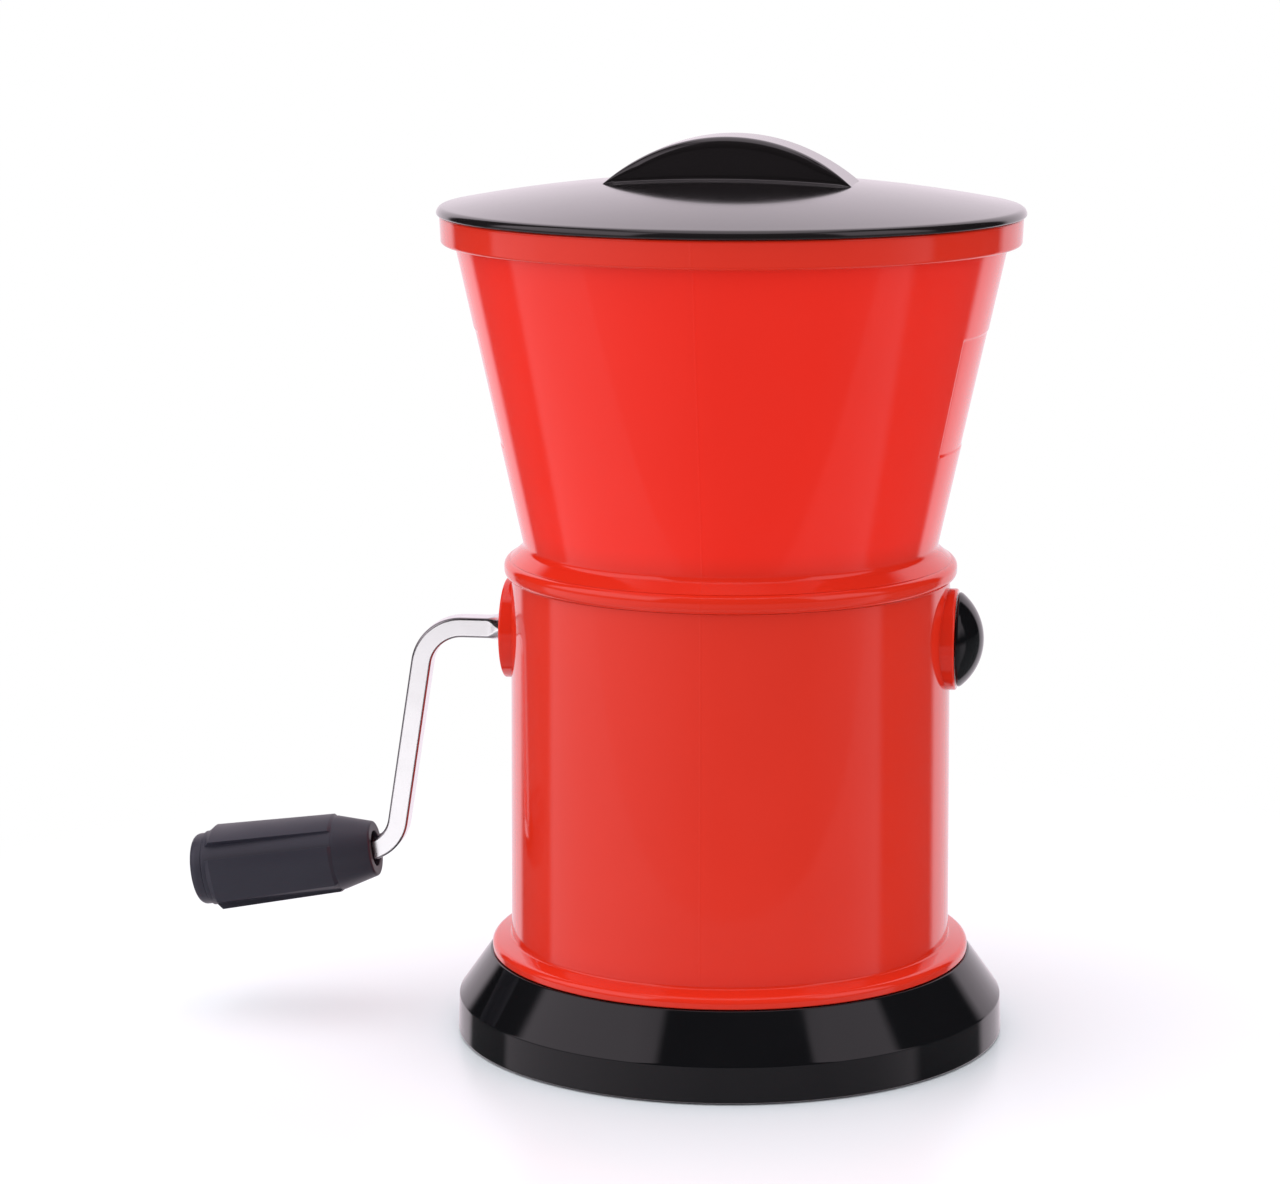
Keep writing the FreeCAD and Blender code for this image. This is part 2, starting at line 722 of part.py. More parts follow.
outline(bar, [
    (bar_wide / 2 - bar_round, -bar_thick / 2),
    (bar_wide / 2, bar_round - bar_thick / 2, bar_round, 1),
    (bar_wide / 2, bar_thick / 2 - bar_round),
    (bar_wide / 2 - bar_round, bar_thick / 2, bar_round, 1),
    (bar_round - bar_wide / 2, bar_thick / 2),
    (-bar_wide / 2, bar_thick / 2 - bar_round, bar_round, 1),
    (-bar_wide / 2, bar_round - bar_thick / 2),
    (bar_round - bar_wide / 2, -bar_thick / 2, bar_round, 1),
])
arm = crank_rod.newObject("PartDesign::AdditivePipe", "arm")
arm.Profile = bar
arm.Spine = (path, [])
crank_rod.Tip = arm


def spindle_round(name, start, radius, length):
    """A round length of the spindle, measured along the grip from the arm's elbow."""
    drawn = new_sketch(crank_rod, name + "_outline", "YZ_Plane")
    drawn.AttachmentOffset.Rotation = FreeCAD.Rotation(FreeCAD.Vector(1, 0, 0), -grip_tilt.value)
    drawn.setExpression("AttachmentOffset.Rotation.Angle", (-grip_tilt).text)
    drawn.setExpression("AttachmentOffset.Base.z", (elbow_x - start * cos(grip_tilt)).text)
    drawn.setExpression("AttachmentOffset.Base.y", (-arm_drop - start * sin(grip_tilt)).text)
    ring(drawn, 0, 0, radius)
    return pad(crank_rod, name, drawn, length, back=True)


retainer_start = grip_pocket + seat_gap
retainer_end = retainer_start + retainer_thick
spindle_round("spindle", spindle_step - 0.5, spindle_radius,
              grip_start + retainer_end - spindle_step + 0.5)
spindle_round("rivet", grip_start + retainer_end, rivet_radius, rivet_tall)

# Domed locking nut on the threaded end, round its brass insert
nut_seat = boss_face + seat_gap * 2
locking_nut = new_body("locking_nut", z=shaft_height)
dome = new_sketch(locking_nut, "nut_section", "XZ_Plane")
nut_rise = nut_tip - nut_seat - nut_rim
outline(dome, [
    (nut_seat, insert_radius),
    (nut_seat, nut_radius),
    (nut_seat + nut_rim, nut_radius),
    (nut_tip, 0, (nut_radius * nut_radius + nut_rise * nut_rise) / (nut_rise * 2), -1),
    (insert_end, 0),
    (insert_end, insert_radius),
])
turn(locking_nut, "nut_turn", dome, "H_Axis")
nut_insert = new_body("nut_insert", z=shaft_height)
insert = new_sketch(nut_insert, "insert_section", "XZ_Plane")
box(insert, nut_seat, thread_radius, insert_end, insert_radius)
turn(nut_insert, "insert_turn", insert, "H_Axis")

# Grip, in its own frame: X runs outwards along the spindle from the nose of the grip
grip_x = elbow_x - grip_start * cos(grip_tilt)
grip_z = shaft_height - arm_drop - grip_start * sin(grip_tilt)
grip_sleeve = new_body("grip_sleeve", grip_x, grip_z, 180.0 - grip_tilt)
sleeve = new_sketch(grip_sleeve, "sleeve_section", "XZ_Plane")
outline(sleeve, [
    (0, grip_throat_radius),
    (0, grip_nose_radius),
    (grip_nose, grip_core_radius),
    (grip_long, grip_core_radius),
    (grip_long, grip_pocket_radius),
    (grip_pocket, grip_pocket_radius),
    (grip_pocket, spindle_radius + running_fit),
    (grip_throat, spindle_radius + running_fit),
    (grip_throat, grip_throat_radius),
])
sleeve_turn = turn(grip_sleeve, "sleeve_turn", sleeve, "H_Axis")
nose_edge = soften(grip_sleeve, "nose_edge", sleeve_turn,
                   circle_at(grip_nose_radius, Size.of(0), "x"), 0.5)
pads = new_sketch(grip_sleeve, "pad_section", "XZ_Plane", turn=pad_place, about=(1, 0, 0))
pad_deep = grip_core_radius - 0.8
outline(pads, [
    (grip_nose - 0.6, pad_deep),
    (grip_nose - 0.6, grip_core_radius - 0.3),
    (grip_nose + 0.5, pad_first_radius),
    (pad_last, pad_last_radius),
    (pad_last + 1.2, grip_core_radius + 0.2),
    (pad_last + 1.2, pad_deep),
])
pad_turn = turn(grip_sleeve, "pad_turn", pads, "H_Axis", pad_angle)
repeat(grip_sleeve, "pads", pad_turn, "X_Axis", pad_count)

grip_end_cap = new_body("grip_end_cap", grip_x, grip_z, 180.0 - grip_tilt)
cap = new_sketch(grip_end_cap, "cap_section", "XZ_Plane")
plug_start = retainer_end + rivet_tall + 0.5
outline(cap, [
    (plug_start, rivet_radius + 0.6),
    (plug_start, grip_pocket_radius),
    (grip_long, grip_pocket_radius),
    (grip_long, grip_core_radius - 0.4),
    (cap_end - cap_round, grip_core_radius - 0.4),
    (cap_end, grip_core_radius - 0.4 - cap_round, cap_round, -1),
    (cap_end, 0),
    (cap_start, 0),
    (cap_start, rivet_radius + 0.6),
])
turn(grip_end_cap, "cap_turn", cap, "H_Axis")

grip_retainer = new_body("grip_retainer", grip_x, grip_z, 180.0 - grip_tilt)
retainer = new_sketch(grip_retainer, "retainer_section", "XZ_Plane")
box(retainer, retainer_start, spindle_radius, retainer_end, retainer_radius)
turn(grip_retainer, "retainer_turn", retainer, "H_Axis")

# Lid: a shallow dome with a plug ring inside the rim and an arched handle, cored from below
lid = new_body("lid")
lid_section = new_sketch(lid, "lid_section", "XZ_Plane")
plug_inner = plug_radius - plug_wall
under_rise = dome_top - lid_wall - lid_bottom
dome_rise = dome_top - dome_edge
dome_round = (dome_edge_radius * dome_edge_radius + dome_rise * dome_rise) / (dome_rise * 2)
outline(lid_section, [
    (0, dome_top),
    (dome_edge_radius, dome_edge, dome_round, -1),
    (lid_radius, dome_edge - 1.0, 1.3, -1),
    (lid_radius, lid_bottom),
    (plug_radius, lid_bottom),
    (plug_radius, plug_low),
    (plug_inner, plug_low),
    (plug_inner, lid_bottom),
    (0, dome_top - lid_wall,
     (plug_inner * plug_inner + under_rise * under_rise) / (under_rise * 2), 1),
])
turn(lid, "lid_turn", lid_section, "V_Axis")
handle = new_sketch(lid, "handle_outline", "XZ_Plane")
handle_centre = handle_top - handle_round
foot_rise = handle_foot - handle_centre
handle_half = root(handle_round * handle_round - foot_rise * foot_rise)
outline(handle, [(handle_half, handle_foot), (-handle_half, handle_foot, handle_round, 1)])
handle_pad = pad(lid, "handle", handle, handle_wide, both=True)
handle_edge = soften(lid, "handle_edge", handle_pad,
                     circle_at(handle_round, handle_centre), 1.2)
core = new_sketch(lid, "handle_core", "XZ_Plane")
core_round = handle_round - handle_wall
core_foot = handle_foot - 2.0
core_rise = core_foot - handle_centre
core_half = root(core_round * core_round - core_rise * core_rise)
outline(core, [(core_half, core_foot), (-core_half, core_foot, core_round, 1)])
pocket(lid, "handle_hollow", core, handle_wide - handle_wall * 2, both=True)

pieces = [
    collecting_base, foot_ring, body_shell, comb_front, comb_rear, comb_screws,
    bush_left, bush_right, lid, crank_rod, *rotor_blades, *blade_spacers,
    thrust_washer_left, thrust_washer_right, locking_nut, nut_insert,
    grip_sleeve, grip_end_cap, grip_retainer,
]
doc.recompute()
for item in doc.Objects:
    if "Invalid" in item.State or "Error" in item.State:
        raise RuntimeError("%s is %s" % (item.Label, item.State))
for piece in pieces:
    if piece.Shape.isNull() or not piece.Shape.isValid() or piece.Shape.Volume <= 0:
        raise RuntimeError("%s has no valid shape" % piece.Label)
os.makedirs("parts", exist_ok=True)
for piece in pieces:
    piece.Shape.exportStep("parts/%s.step" % piece.Label)
    extent = piece.Shape.BoundBox
    print("%-20s %9.1f mm3  %d solid  x %.2f %.2f  y %.2f %.2f  z %.2f %.2f" % (
        piece.Label, piece.Shape.Volume, len(piece.Shape.Solids), extent.XMin, extent.XMax,
        extent.YMin, extent.YMax, extent.ZMin, extent.ZMax))
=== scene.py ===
"""Looks of a hand-cranked food mill: red body and hopper, black lid and base, steel crank.

The seven outer pieces are surfaces worked out with numpy; the pieces inside and the foot ring keep
their solid's shape and get a finish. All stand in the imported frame, in metres: the origin is the
middle of the foot on the table, +Z is up, the shaft runs along X and the front faces -Y.
"""
from __future__ import annotations

import json
import logging
import math
from dataclasses import dataclass, field
from enum import Enum

import bpy
import numpy as np
from mathutils import Matrix, Vector

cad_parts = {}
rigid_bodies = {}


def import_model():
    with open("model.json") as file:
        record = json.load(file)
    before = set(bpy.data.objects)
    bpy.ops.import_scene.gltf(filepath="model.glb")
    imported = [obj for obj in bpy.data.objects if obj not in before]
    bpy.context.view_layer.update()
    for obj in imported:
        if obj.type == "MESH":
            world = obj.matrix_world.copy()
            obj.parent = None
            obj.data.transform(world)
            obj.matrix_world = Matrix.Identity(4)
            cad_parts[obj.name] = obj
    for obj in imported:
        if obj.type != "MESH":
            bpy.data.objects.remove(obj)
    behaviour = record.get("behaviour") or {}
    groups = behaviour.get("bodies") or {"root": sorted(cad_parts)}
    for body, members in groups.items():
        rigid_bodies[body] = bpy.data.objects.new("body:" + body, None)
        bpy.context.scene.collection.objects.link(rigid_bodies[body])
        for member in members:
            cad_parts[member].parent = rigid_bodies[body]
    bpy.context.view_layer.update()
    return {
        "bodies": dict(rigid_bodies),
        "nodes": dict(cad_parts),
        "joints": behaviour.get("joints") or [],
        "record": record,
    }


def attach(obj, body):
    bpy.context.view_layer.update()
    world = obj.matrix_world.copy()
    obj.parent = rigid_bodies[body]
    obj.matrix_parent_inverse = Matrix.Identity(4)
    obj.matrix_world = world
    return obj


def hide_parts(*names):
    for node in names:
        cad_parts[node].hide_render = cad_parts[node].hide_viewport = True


LOG = logging.getLogger("food_mill")
MM = 0.001
TAU = 2.0 * math.pi
SHARP = 0.04  # least corner radius, in millimetres
FREE_SHARE = 0.3  # share of a free stretch that a support point may take up
Corner = tuple[float, float, float]


class Body(Enum):
    """The rigid bodies of the mill."""

    BASE = "base"
    HOUSING = "housing"
    LID = "lid"
    ROTOR = "rotor"
    GRIP = "grip"


class Slot(Enum):
    """The material slots of the record."""

    RED = "red_plastic"
    BLACK = "black_gloss_plastic"
    LID = "black_lid_plastic"
    GRIP = "grip_plastic"
    BRIGHT = "bright_steel"
    BLADE = "blade_steel"
    ZINC = "zinc_steel"
    WHITE = "white_plastic"
    BRASS = "brass"
    RUBBER = "foot_rubber"


# ---------------------------------------------------------------- surfaces


@dataclass
class Sheet:
    """A grid of points, rows by columns, that becomes one surface.

    The columns close on themselves, and with wrap_rows so do the rows; first_pole and last_pole
    say that the first or last row is a single point. edge tells, from 0 to 1, how sharp an edge a
    point is on; drawn_metal darkens such points with painted shade.
    """

    points: np.ndarray
    wrap_rows: bool = False
    first_pole: bool = False
    last_pole: bool = False
    edge: np.ndarray | None = None

    def faces(self) -> tuple[np.ndarray, np.ndarray]:
        """Index the grid's cells.

        Returns:
            Four-cornered faces and, next to a pole, three-cornered ones.
        """
        rows, columns = self.points.shape[:2]
        index = np.arange(rows * columns).reshape(rows, columns)
        below = np.roll(index, -1, 0) if self.wrap_rows else index[1:]
        above = index if self.wrap_rows else index[:-1]
        quads = np.stack([above, np.roll(above, -1, 1), np.roll(below, -1, 1), below], -1)
        fans = []
        if self.first_pole:
            pole = np.full(columns, index[0, 0])
            fans.append(np.stack([pole, quads[0, :, 2], quads[0, :, 3]], -1))
            quads = quads[1:]
        if self.last_pole:
            pole = np.full(columns, index[-1, 0])
            fans.append(np.stack([quads[-1, :, 0], quads[-1, :, 1], pole], -1))
            quads = quads[:-1]
        return quads.reshape(-1, 4), np.concatenate(fans) if fans else np.zeros((0, 3), int)


def signed_volume(points: np.ndarray, quads: np.ndarray, fans: np.ndarray) -> float:
    """Six times the volume that a closed surface holds: the sum of a . (b x c) over its triangles.

    Args:
        points: Corner points, one per row.
        quads: Four-cornered faces.
        fans: Three-cornered faces.

    Returns:
        A value above zero where the faces point outwards.
    """
    triangles = np.concatenate([quads[:, [0, 1, 2]], quads[:, [0, 2, 3]], fans])
    a, b, c = (points[triangles[:, k]] for k in range(3))
    return float(np.einsum("ij,ij->", a, np.cross(b, c)))


def make_piece(name: str, sheets: list[Sheet], material: bpy.types.Material) -> bpy.types.Object:
    """Put closed sheets into one mesh object at the origin, with every sheet facing outwards.

    Args:
        name: Name of the object.
        sheets: Its closed surfaces.
        material: Its finish.

    Returns:
        The new object.
    """
    corners, edges, faces, start = [], [], [], 0
    for sheet in sheets:
        points = sheet.points.reshape(-1, 3)
        quads, fans = sheet.faces()
        if signed_volume(points - points.mean(0), quads, fans) < 0:
            quads, fans = quads[:, ::-1], fans[:, ::-1]
        used, places = np.unique(np.concatenate([quads.ravel(), fans.ravel()]), return_inverse=True)
        places = places + start
        corners.append(points[used])
        edges.append(np.zeros(len(used)) if sheet.edge is None else sheet.edge.ravel()[used])
        faces += places[: quads.size].reshape(-1, 4).tolist()
        faces += places[quads.size:].reshape(-1, 3).tolist()
        start += len(used)
    mesh = bpy.data.meshes.new(name)
    mesh.from_pydata(np.concatenate(corners).tolist(), [], faces)
    mesh.polygons.foreach_set("use_smooth", np.ones(len(mesh.polygons), bool))
    sharp = np.concatenate(edges)
    # The edge weights go into the edge attribute, on which drawn_metal paints shade.
    if sharp.any():
        mesh.attributes.new("edge", "FLOAT", "POINT").data.foreach_set("value", sharp.astype(np.float32))
    mesh.materials.append(material)
    mesh.update()
    made = bpy.data.objects.new(name, mesh)
    bpy.context.scene.collection.objects.link(made)
    LOG.info("%s: %d faces", name, len(faces))
    return made


def rounded_path(corners: list[Corner], steps: int = 7, support: float = 0.22) -> np.ndarray:
    """Round the corners of a closed outline.

    At a corner with unit directions a and b to its neighbours and half angle h between them, the
    arc of radius r starts at r / tan h along a and ends as far along b, and its centre lies on
    the bisector at r / sin h. A support point on each side of the arc keeps the straight
    stretches straight in shading.

    Args:
        corners: Corners as (x, y, radius).
        steps: Number of chords in each arc.
        support: Distance of the support points from the arc.

    Returns:
        The outline's points, one per row.
    """
    table = np.array(corners, float)
    place, radius = table[:, :2], np.maximum(table[:, 2:], SHARP)
    before, after = np.roll(place, 1, 0) - place, np.roll(place, -1, 0) - place
    long_before = np.linalg.norm(before, axis=1, keepdims=True)
    long_after = np.linalg.norm(after, axis=1, keepdims=True)
    a, b = before / long_before, after / long_after
    half = np.arccos(np.clip((a * b).sum(1, keepdims=True), -1, 1)) / 2
    reach = radius / np.tan(half)
    bisector = (a + b) / np.linalg.norm(a + b, axis=1, keepdims=True)
    centre = place + bisector * radius / np.sin(half)
    first, last = place + a * reach - centre, place + b * reach - centre
    sweep = (math.pi - 2 * half)[:, None, :]
    share = np.linspace(0, 1, steps + 1)[None, :, None]
    arc = np.sin((1 - share) * sweep) * first[:, None] + np.sin(share * sweep) * last[:, None]
    arc = arc / np.sin(sweep)
    free_before = (long_before - reach - np.roll(reach, 1, 0)) * FREE_SHARE
    free_after = (long_after - reach - np.roll(reach, -1, 0)) * FREE_SHARE
    lead = centre + first + a * np.minimum(support, free_before)
    tail = centre + last + b * np.minimum(support, free_after)
    return np.concatenate([lead[:, None], centre[:, None] + arc, tail[:, None]], 1).reshape(-1, 2)


def add_points(path: np.ndarray, heights: np.ndarray, where: slice) -> np.ndarray:
    """Insert points on one stretch of an outline where its height takes given values.

    Args:
        path: The outline as (radius, height).
        heights: Heights to add.
        where: Rows of the stretch, along which the height runs one way.

    Returns:
        The outline with the points in it.
    """
    part = path[where]
    order = np.argsort(part[:, 1])
    radius = np.interp(heights, part[order, 1], part[order, 0])
    joined = np.concatenate([part, np.stack([radius, heights], -1)])
    rising = part[-1, 1] > part[0, 1]
    joined = joined[np.argsort(joined[:, 1] if rising else -joined[:, 1], kind="stable")]
    return np.concatenate([path[: where.start], joined, path[where.stop:]])


def even_angles(count: int) -> np.ndarray:
    """Even angles round the circle."""
    return np.linspace(0, TAU, count, endpoint=False)


def angles(count: int, marks: np.ndarray, half_width: float, extra: int) -> np.ndarray:
    """Even angles round the circle with more of them packed about some marks.

    Args:
        count: Number of even angles.
        marks: Angles to pack about.
        half_width: How far the packing reaches to each side.
        extra: Angles added at each mark.

    Returns:
        Rising angles in radians.
    """
    even = even_angles(count)
    packed = (marks[:, None] + np.linspace(-half_width, half_width, extra)).ravel() % TAU
    clear = np.abs((even[:, None] - packed[None] + math.pi) % TAU - math.pi).min(1) > TAU / count / 3
    return np.sort(np.concatenate([even[clear], packed]))


def ease(share: np.ndarray) -> np.ndarray:
    """Go smoothly from 0 to 1 as 3t^2 - 2t^3."""
    share = np.clip(share, 0, 1)
    return share * share * (3 - 2 * share)


def window(value: np.ndarray, low: float, high: float, blend: float) -> np.ndarray:
    """Rise from 0 to 1 at low and fall back at high, each eased over the width blend."""
    return ease((value - low) / blend + 0.5) * ease((high - value) / blend + 0.5)


def oblong(around: np.ndarray, half_x: float, half_y: float, power: float) -> np.ndarray:
    """Radius of the rounded oblong |x/a|^p + |y/b|^p = 1 at given angles.

    Args:
        around: Angles in radians.
        half_x: The half length a.
        half_y: The half width b.
        power: The power p.

    Returns:
        One radius for each angle.
    """
    x, y = np.abs(np.cos(around) / half_x), np.abs(np.sin(around) / half_y)
    return (x ** power + y ** power) ** (-1 / power)


def ball_radius(half_chord: float, rise: float) -> float:
    """Radius of the sphere whose cap has a given half chord and rise: (c^2 + h^2) / 2h."""
    return (half_chord ** 2 + rise ** 2) / (2 * rise)


def carried(radius: np.ndarray, around: np.ndarray, height: np.ndarray) -> np.ndarray:
    """Points (r cos u, r sin u, z) in metres, from millimetres and angles in radians."""
    return np.stack([radius * np.cos(around), radius * np.sin(around), height + 0 * around], -1) * MM


def turned(path: np.ndarray, around: np.ndarray) -> np.ndarray:
    """Carry an outline of (radius, height) round Z: (r cos u, r sin u, z).

    Args:
        path: Outline in millimetres.
        around: Angles in radians.

    Returns:
        Points of the grid in metres, rows along the outline.
    """
    return carried(path[:, :1], around, path[:, 1:])


def along(points: np.ndarray, origin: Vector, axis: Vector) -> np.ndarray:
    """Stand a shape that was turned round Z on another axis, with its side +X kept level.

    Args:
        points: Grid points in metres.
        origin: Where the shape's origin goes.
        axis: Where its Z axis points.

    Returns:
        The moved points.
    """
    forward = np.array(axis.normalized())
    side = np.array([0.0, -1.0, 0.0])
    frame = np.stack([side, np.cross(forward, side), forward])
    return points @ frame + np.array(origin)


# ---------------------------------------------------------------- finishes


class Graph:
    """A node tree with short calls to add and join nodes."""

    def __init__(self, tree: bpy.types.NodeTree) -> None:
        """Hold the tree and empty it."""
        self.tree = tree
        tree.nodes.clear()

    def add(self, kind: str, values: dict | None = None, **settings: object) -> bpy.types.Node:
        """Add a node, set its properties and join or fill its inputs.

        Args:
            kind: Node type.
            values: Input name or number to a value or an output socket.
            settings: Properties of the node.

        Returns:
            The new node.
        """
        node = self.tree.nodes.new(kind)
        for key, value in settings.items():
            setattr(node, key, value)
        for key, value in (values or {}).items():
            if isinstance(value, bpy.types.NodeSocket):
                self.tree.links.new(value, node.inputs[key])
            else:
                node.inputs[key].default_value = value
        return node

    def math(self, operation: str, a: object, b: object = 0.0) -> bpy.types.NodeSocket:
        """One Math node; returns its output."""
        return self.add("ShaderNodeMath", {0: a, 1: b}, operation=operation).outputs[0]

    def spread(
            self, value: object, low: float, high: float, to_low: object, to_high: object,
    ) -> bpy.types.NodeSocket:
        """Map a value from one range to another; returns the output."""
        given = {"Value": value, "From Min": low, "From Max": high, "To Min": to_low, "To Max": to_high}
        return self.add("ShaderNodeMapRange", given).outputs[0]

    def mix(self, share: object, first: object, second: object) -> bpy.types.NodeSocket:
        """Mix two colours; returns the output."""
        return self.add("ShaderNodeMix", {0: share, 6: first, 7: second}, data_type="RGBA").outputs[2]

    def noise(self, place: object, scale: object, detail: float = 2.0) -> bpy.types.NodeSocket:
        """A noise texture on given coordinates; returns its value."""
        node = self.add("ShaderNodeTexNoise", {"Vector": place, "Scale": scale, "Detail": detail})
        return node.outputs[0]


def open_group(
        name: str, inputs: dict[str, object], outputs: dict[str, str],
) -> tuple[bpy.types.NodeTree, Graph, bpy.types.Node]:
    """Start a shader node group.

    Args:
        name: Name of the group.
        inputs: Input names and start values, a number or a colour.
        outputs: Output names and socket types.

    Returns:
        The group, its graph and its input node.
    """
    tree = bpy.data.node_groups.new(name, "ShaderNodeTree")
    for key, value in inputs.items():
        kind = "NodeSocketFloat" if isinstance(value, float) else "NodeSocketColor"
        tree.interface.new_socket(key, in_out="INPUT", socket_type=kind).default_value = value
    for key, kind in outputs.items():
        tree.interface.new_socket(key, in_out="OUTPUT", socket_type=kind)
    graph = Graph(tree)
    return tree, graph, graph.add("NodeGroupInput")


SURFACE = {"Colour": "NodeSocketColor", "Roughness": "NodeSocketFloat", "Height": "NodeSocketFloat"}


def moulded_skin() -> bpy.types.NodeTree:
    """The skin of a moulding: faint flow shades, gloss that drifts, fine peel and grain, and over a
    band of heights a lighter colour painted in as painted light.

    Returns:
        A group with a colour, a roughness and a height in metres.
    """
    found = bpy.data.node_groups.get("moulded_skin")
    if found:
        return found
    start = {
        "Colour": (0.5, 0.5, 0.5, 1.0), "Painted Light Colour": (0.5, 0.5, 0.5, 1.0), "Painted Light Start": 0.115,
        "Rim Height": 0.1854, "Shade": 0.05, "Gloss": 0.1, "Drift": 0.04, "Peel": 0.00001, "Grain": 0.0,
        "Grain Scale": 2400.0}
    tree, graph, given = open_group("moulded_skin", start, SURFACE)
    place = graph.add("ShaderNodeTexCoord").outputs["Object"]
    flow = graph.noise(place, 18.0, 3.0)
    low = graph.math("SUBTRACT", 1.0, given.outputs["Shade"])
    high = graph.math("ADD", 1.0, given.outputs["Shade"])
    shade = graph.spread(flow, 0.3, 0.7, low, high)
    height = graph.add("ShaderNodeSeparateXYZ", {0: place}).outputs[2]
    # Painted light: from just below the neck up to the rim the colour eases to a lighter red, standing in
    # for light that the thin hopper lets through.
    over_neck = graph.math("SUBTRACT", height, given.outputs["Painted Light Start"])
    over_rim = graph.math("SUBTRACT", height, given.outputs["Rim Height"])
    above = graph.spread(over_neck, -0.004, 0.006, 0.0, 1.0)
    below = graph.spread(over_rim, -0.0004, 0.0004, 1.0, 0.0)
    between = graph.math("MULTIPLY", above, below)
    tint = graph.mix(between, given.outputs["Colour"], given.outputs["Painted Light Colour"])
    colour = graph.add("ShaderNodeVectorMath", {0: tint, "Scale": shade}, operation="SCALE")
    smear = graph.noise(place, 75.0, 4.0)
    slack = graph.math("ADD", given.outputs["Gloss"], given.outputs["Drift"])
    rough = graph.spread(smear, 0.35, 0.75, given.outputs["Gloss"], slack)
    peel = graph.math("MULTIPLY", graph.noise(place, 260.0, 1.0), given.outputs["Peel"])
    grain = graph.noise(place, given.outputs["Grain Scale"], 2.0)
    height = graph.math("ADD", peel, graph.math("MULTIPLY", grain, given.outputs["Grain"]))
    graph.add("NodeGroupOutput", {"Colour": colour.outputs[0], "Roughness": rough, "Height": height})
    return tree


def drawn_metal() -> bpy.types.NodeTree:
    """Metal with fine drawn or ground lines that run along one axis of the piece, and painted shade that
    darkens marked edges.

    Returns:
        A group with a colour, a roughness and a height in metres.
    """
    found = bpy.data.node_groups.get("drawn_metal")
    if found:
        return found
    start = {"Colour": (0.6, 0.6, 0.6, 1.0), "Shade": 0.05, "Gloss": 0.2, "Drift": 0.1,
             "Lines": 0.000004, "Along X": 1.0, "Along Y": 1.0, "Along Z": 1.0, "Painted Edge Shade": 0.68}
    tree, graph, given = open_group("drawn_metal", start, SURFACE)
    place = graph.add("ShaderNodeTexCoord").outputs["Object"]
    pull = graph.add("ShaderNodeCombineXYZ", {0: given.outputs["Along X"], 1: given.outputs["Along Y"],
                                              2: given.outputs["Along Z"]})
    pulled = graph.add("ShaderNodeVectorMath", {0: place, 1: pull.outputs[0]}, operation="MULTIPLY")
    lines = graph.noise(pulled.outputs[0], 2600.0, 3.0)
    cloud = graph.noise(place, 60.0, 3.0)
    low = graph.math("SUBTRACT", 1.0, given.outputs["Shade"])
    high = graph.math("ADD", 1.0, given.outputs["Shade"])
    shade = graph.spread(graph.math("ADD", lines, cloud), 0.7, 1.3, low, high)
    # Painted shade: points that the edge attribute marks, the rounded corners of the crank's bar, are
    # darkened into thin dark lines, standing in for the shade and dark reflections on those corners.
    edge = graph.add("ShaderNodeAttribute", attribute_name="edge").outputs["Fac"]
    painted_edge_shade = graph.math("MULTIPLY", edge, given.outputs["Painted Edge Shade"])
    shade = graph.math("MULTIPLY", shade, graph.spread(painted_edge_shade, 0.0, 1.0, 1.0, 0.0))
    whole = {0: given.outputs["Colour"], "Scale": shade}
    colour = graph.add("ShaderNodeVectorMath", whole, operation="SCALE")
    slack = graph.math("ADD", given.outputs["Gloss"], given.outputs["Drift"])
    rough = graph.spread(graph.math("MULTIPLY", lines, cloud), 0.1, 0.45, given.outputs["Gloss"], slack)
    height = graph.math("MULTIPLY", lines, given.outputs["Lines"])
    graph.add("NodeGroupOutput", {"Colour": colour.outputs[0], "Roughness": rough, "Height": height})
    return tree


def dressed(
        name: str, group: bpy.types.NodeTree, values: dict[str, object], fixed: dict[str, object],
) -> bpy.types.Material:
    """A material whose surface comes from one group.

    Args:
        name: Name of the material.
        group: Group with Colour, Roughness and Height.
        values: Values for the group's inputs.
        fixed: Constants on the shader's own sockets.

    Returns:
        The material.
    """
    made = bpy.data.materials.new(name)
    made.use_nodes = True
    graph = Graph(made.node_tree)
    skin = graph.add("ShaderNodeGroup", node_tree=group)
    for key, value in values.items():
        skin.inputs[key].default_value = value
    bump = graph.add("ShaderNodeBump", {
        "Height": skin.outputs["Height"], "Distance": 1.0, "Strength": 1.0})
    shader = graph.add("ShaderNodeBsdfPrincipled", {
        "Base Color": skin.outputs["Colour"], "Roughness": skin.outputs["Roughness"],
        "Normal": bump.outputs[0]})
    for key, value in fixed.items():
        shader.inputs[key].default_value = value
    graph.add("ShaderNodeOutputMaterial", {"Surface": shader.outputs[0]})
    return made


@dataclass(frozen=True)
class Moulding:
    """A moulded plastic or rubber: colour, gloss and the depth of its peel and grain in metres.

    The other colour, used between the neck and the rim of the body, is a lighter red painted there as
    painted light, for the light that the thin hopper lets through.
    """

    name: str
    colour: tuple[float, float, float]
    gloss: float
    drift: float
    shade: float = 0.04
    peel: float = 0.0
    grain: float = 0.0
    painted_light_upper: tuple[float, float, float] | None = None
    coat: float = 0.0

    def material(self) -> bpy.types.Material:
        """Build the finish."""
        values = {
            "Colour": (*self.colour, 1.0), "Painted Light Colour": (*(self.painted_light_upper or self.colour), 1.0),
            "Shade": self.shade, "Gloss": self.gloss, "Drift": self.drift, "Peel": self.peel,
            "Grain": self.grain}
        fixed = {"Coat Weight": self.coat, "Coat Roughness": self.gloss}
        return dressed(self.name, moulded_skin(), values, fixed)


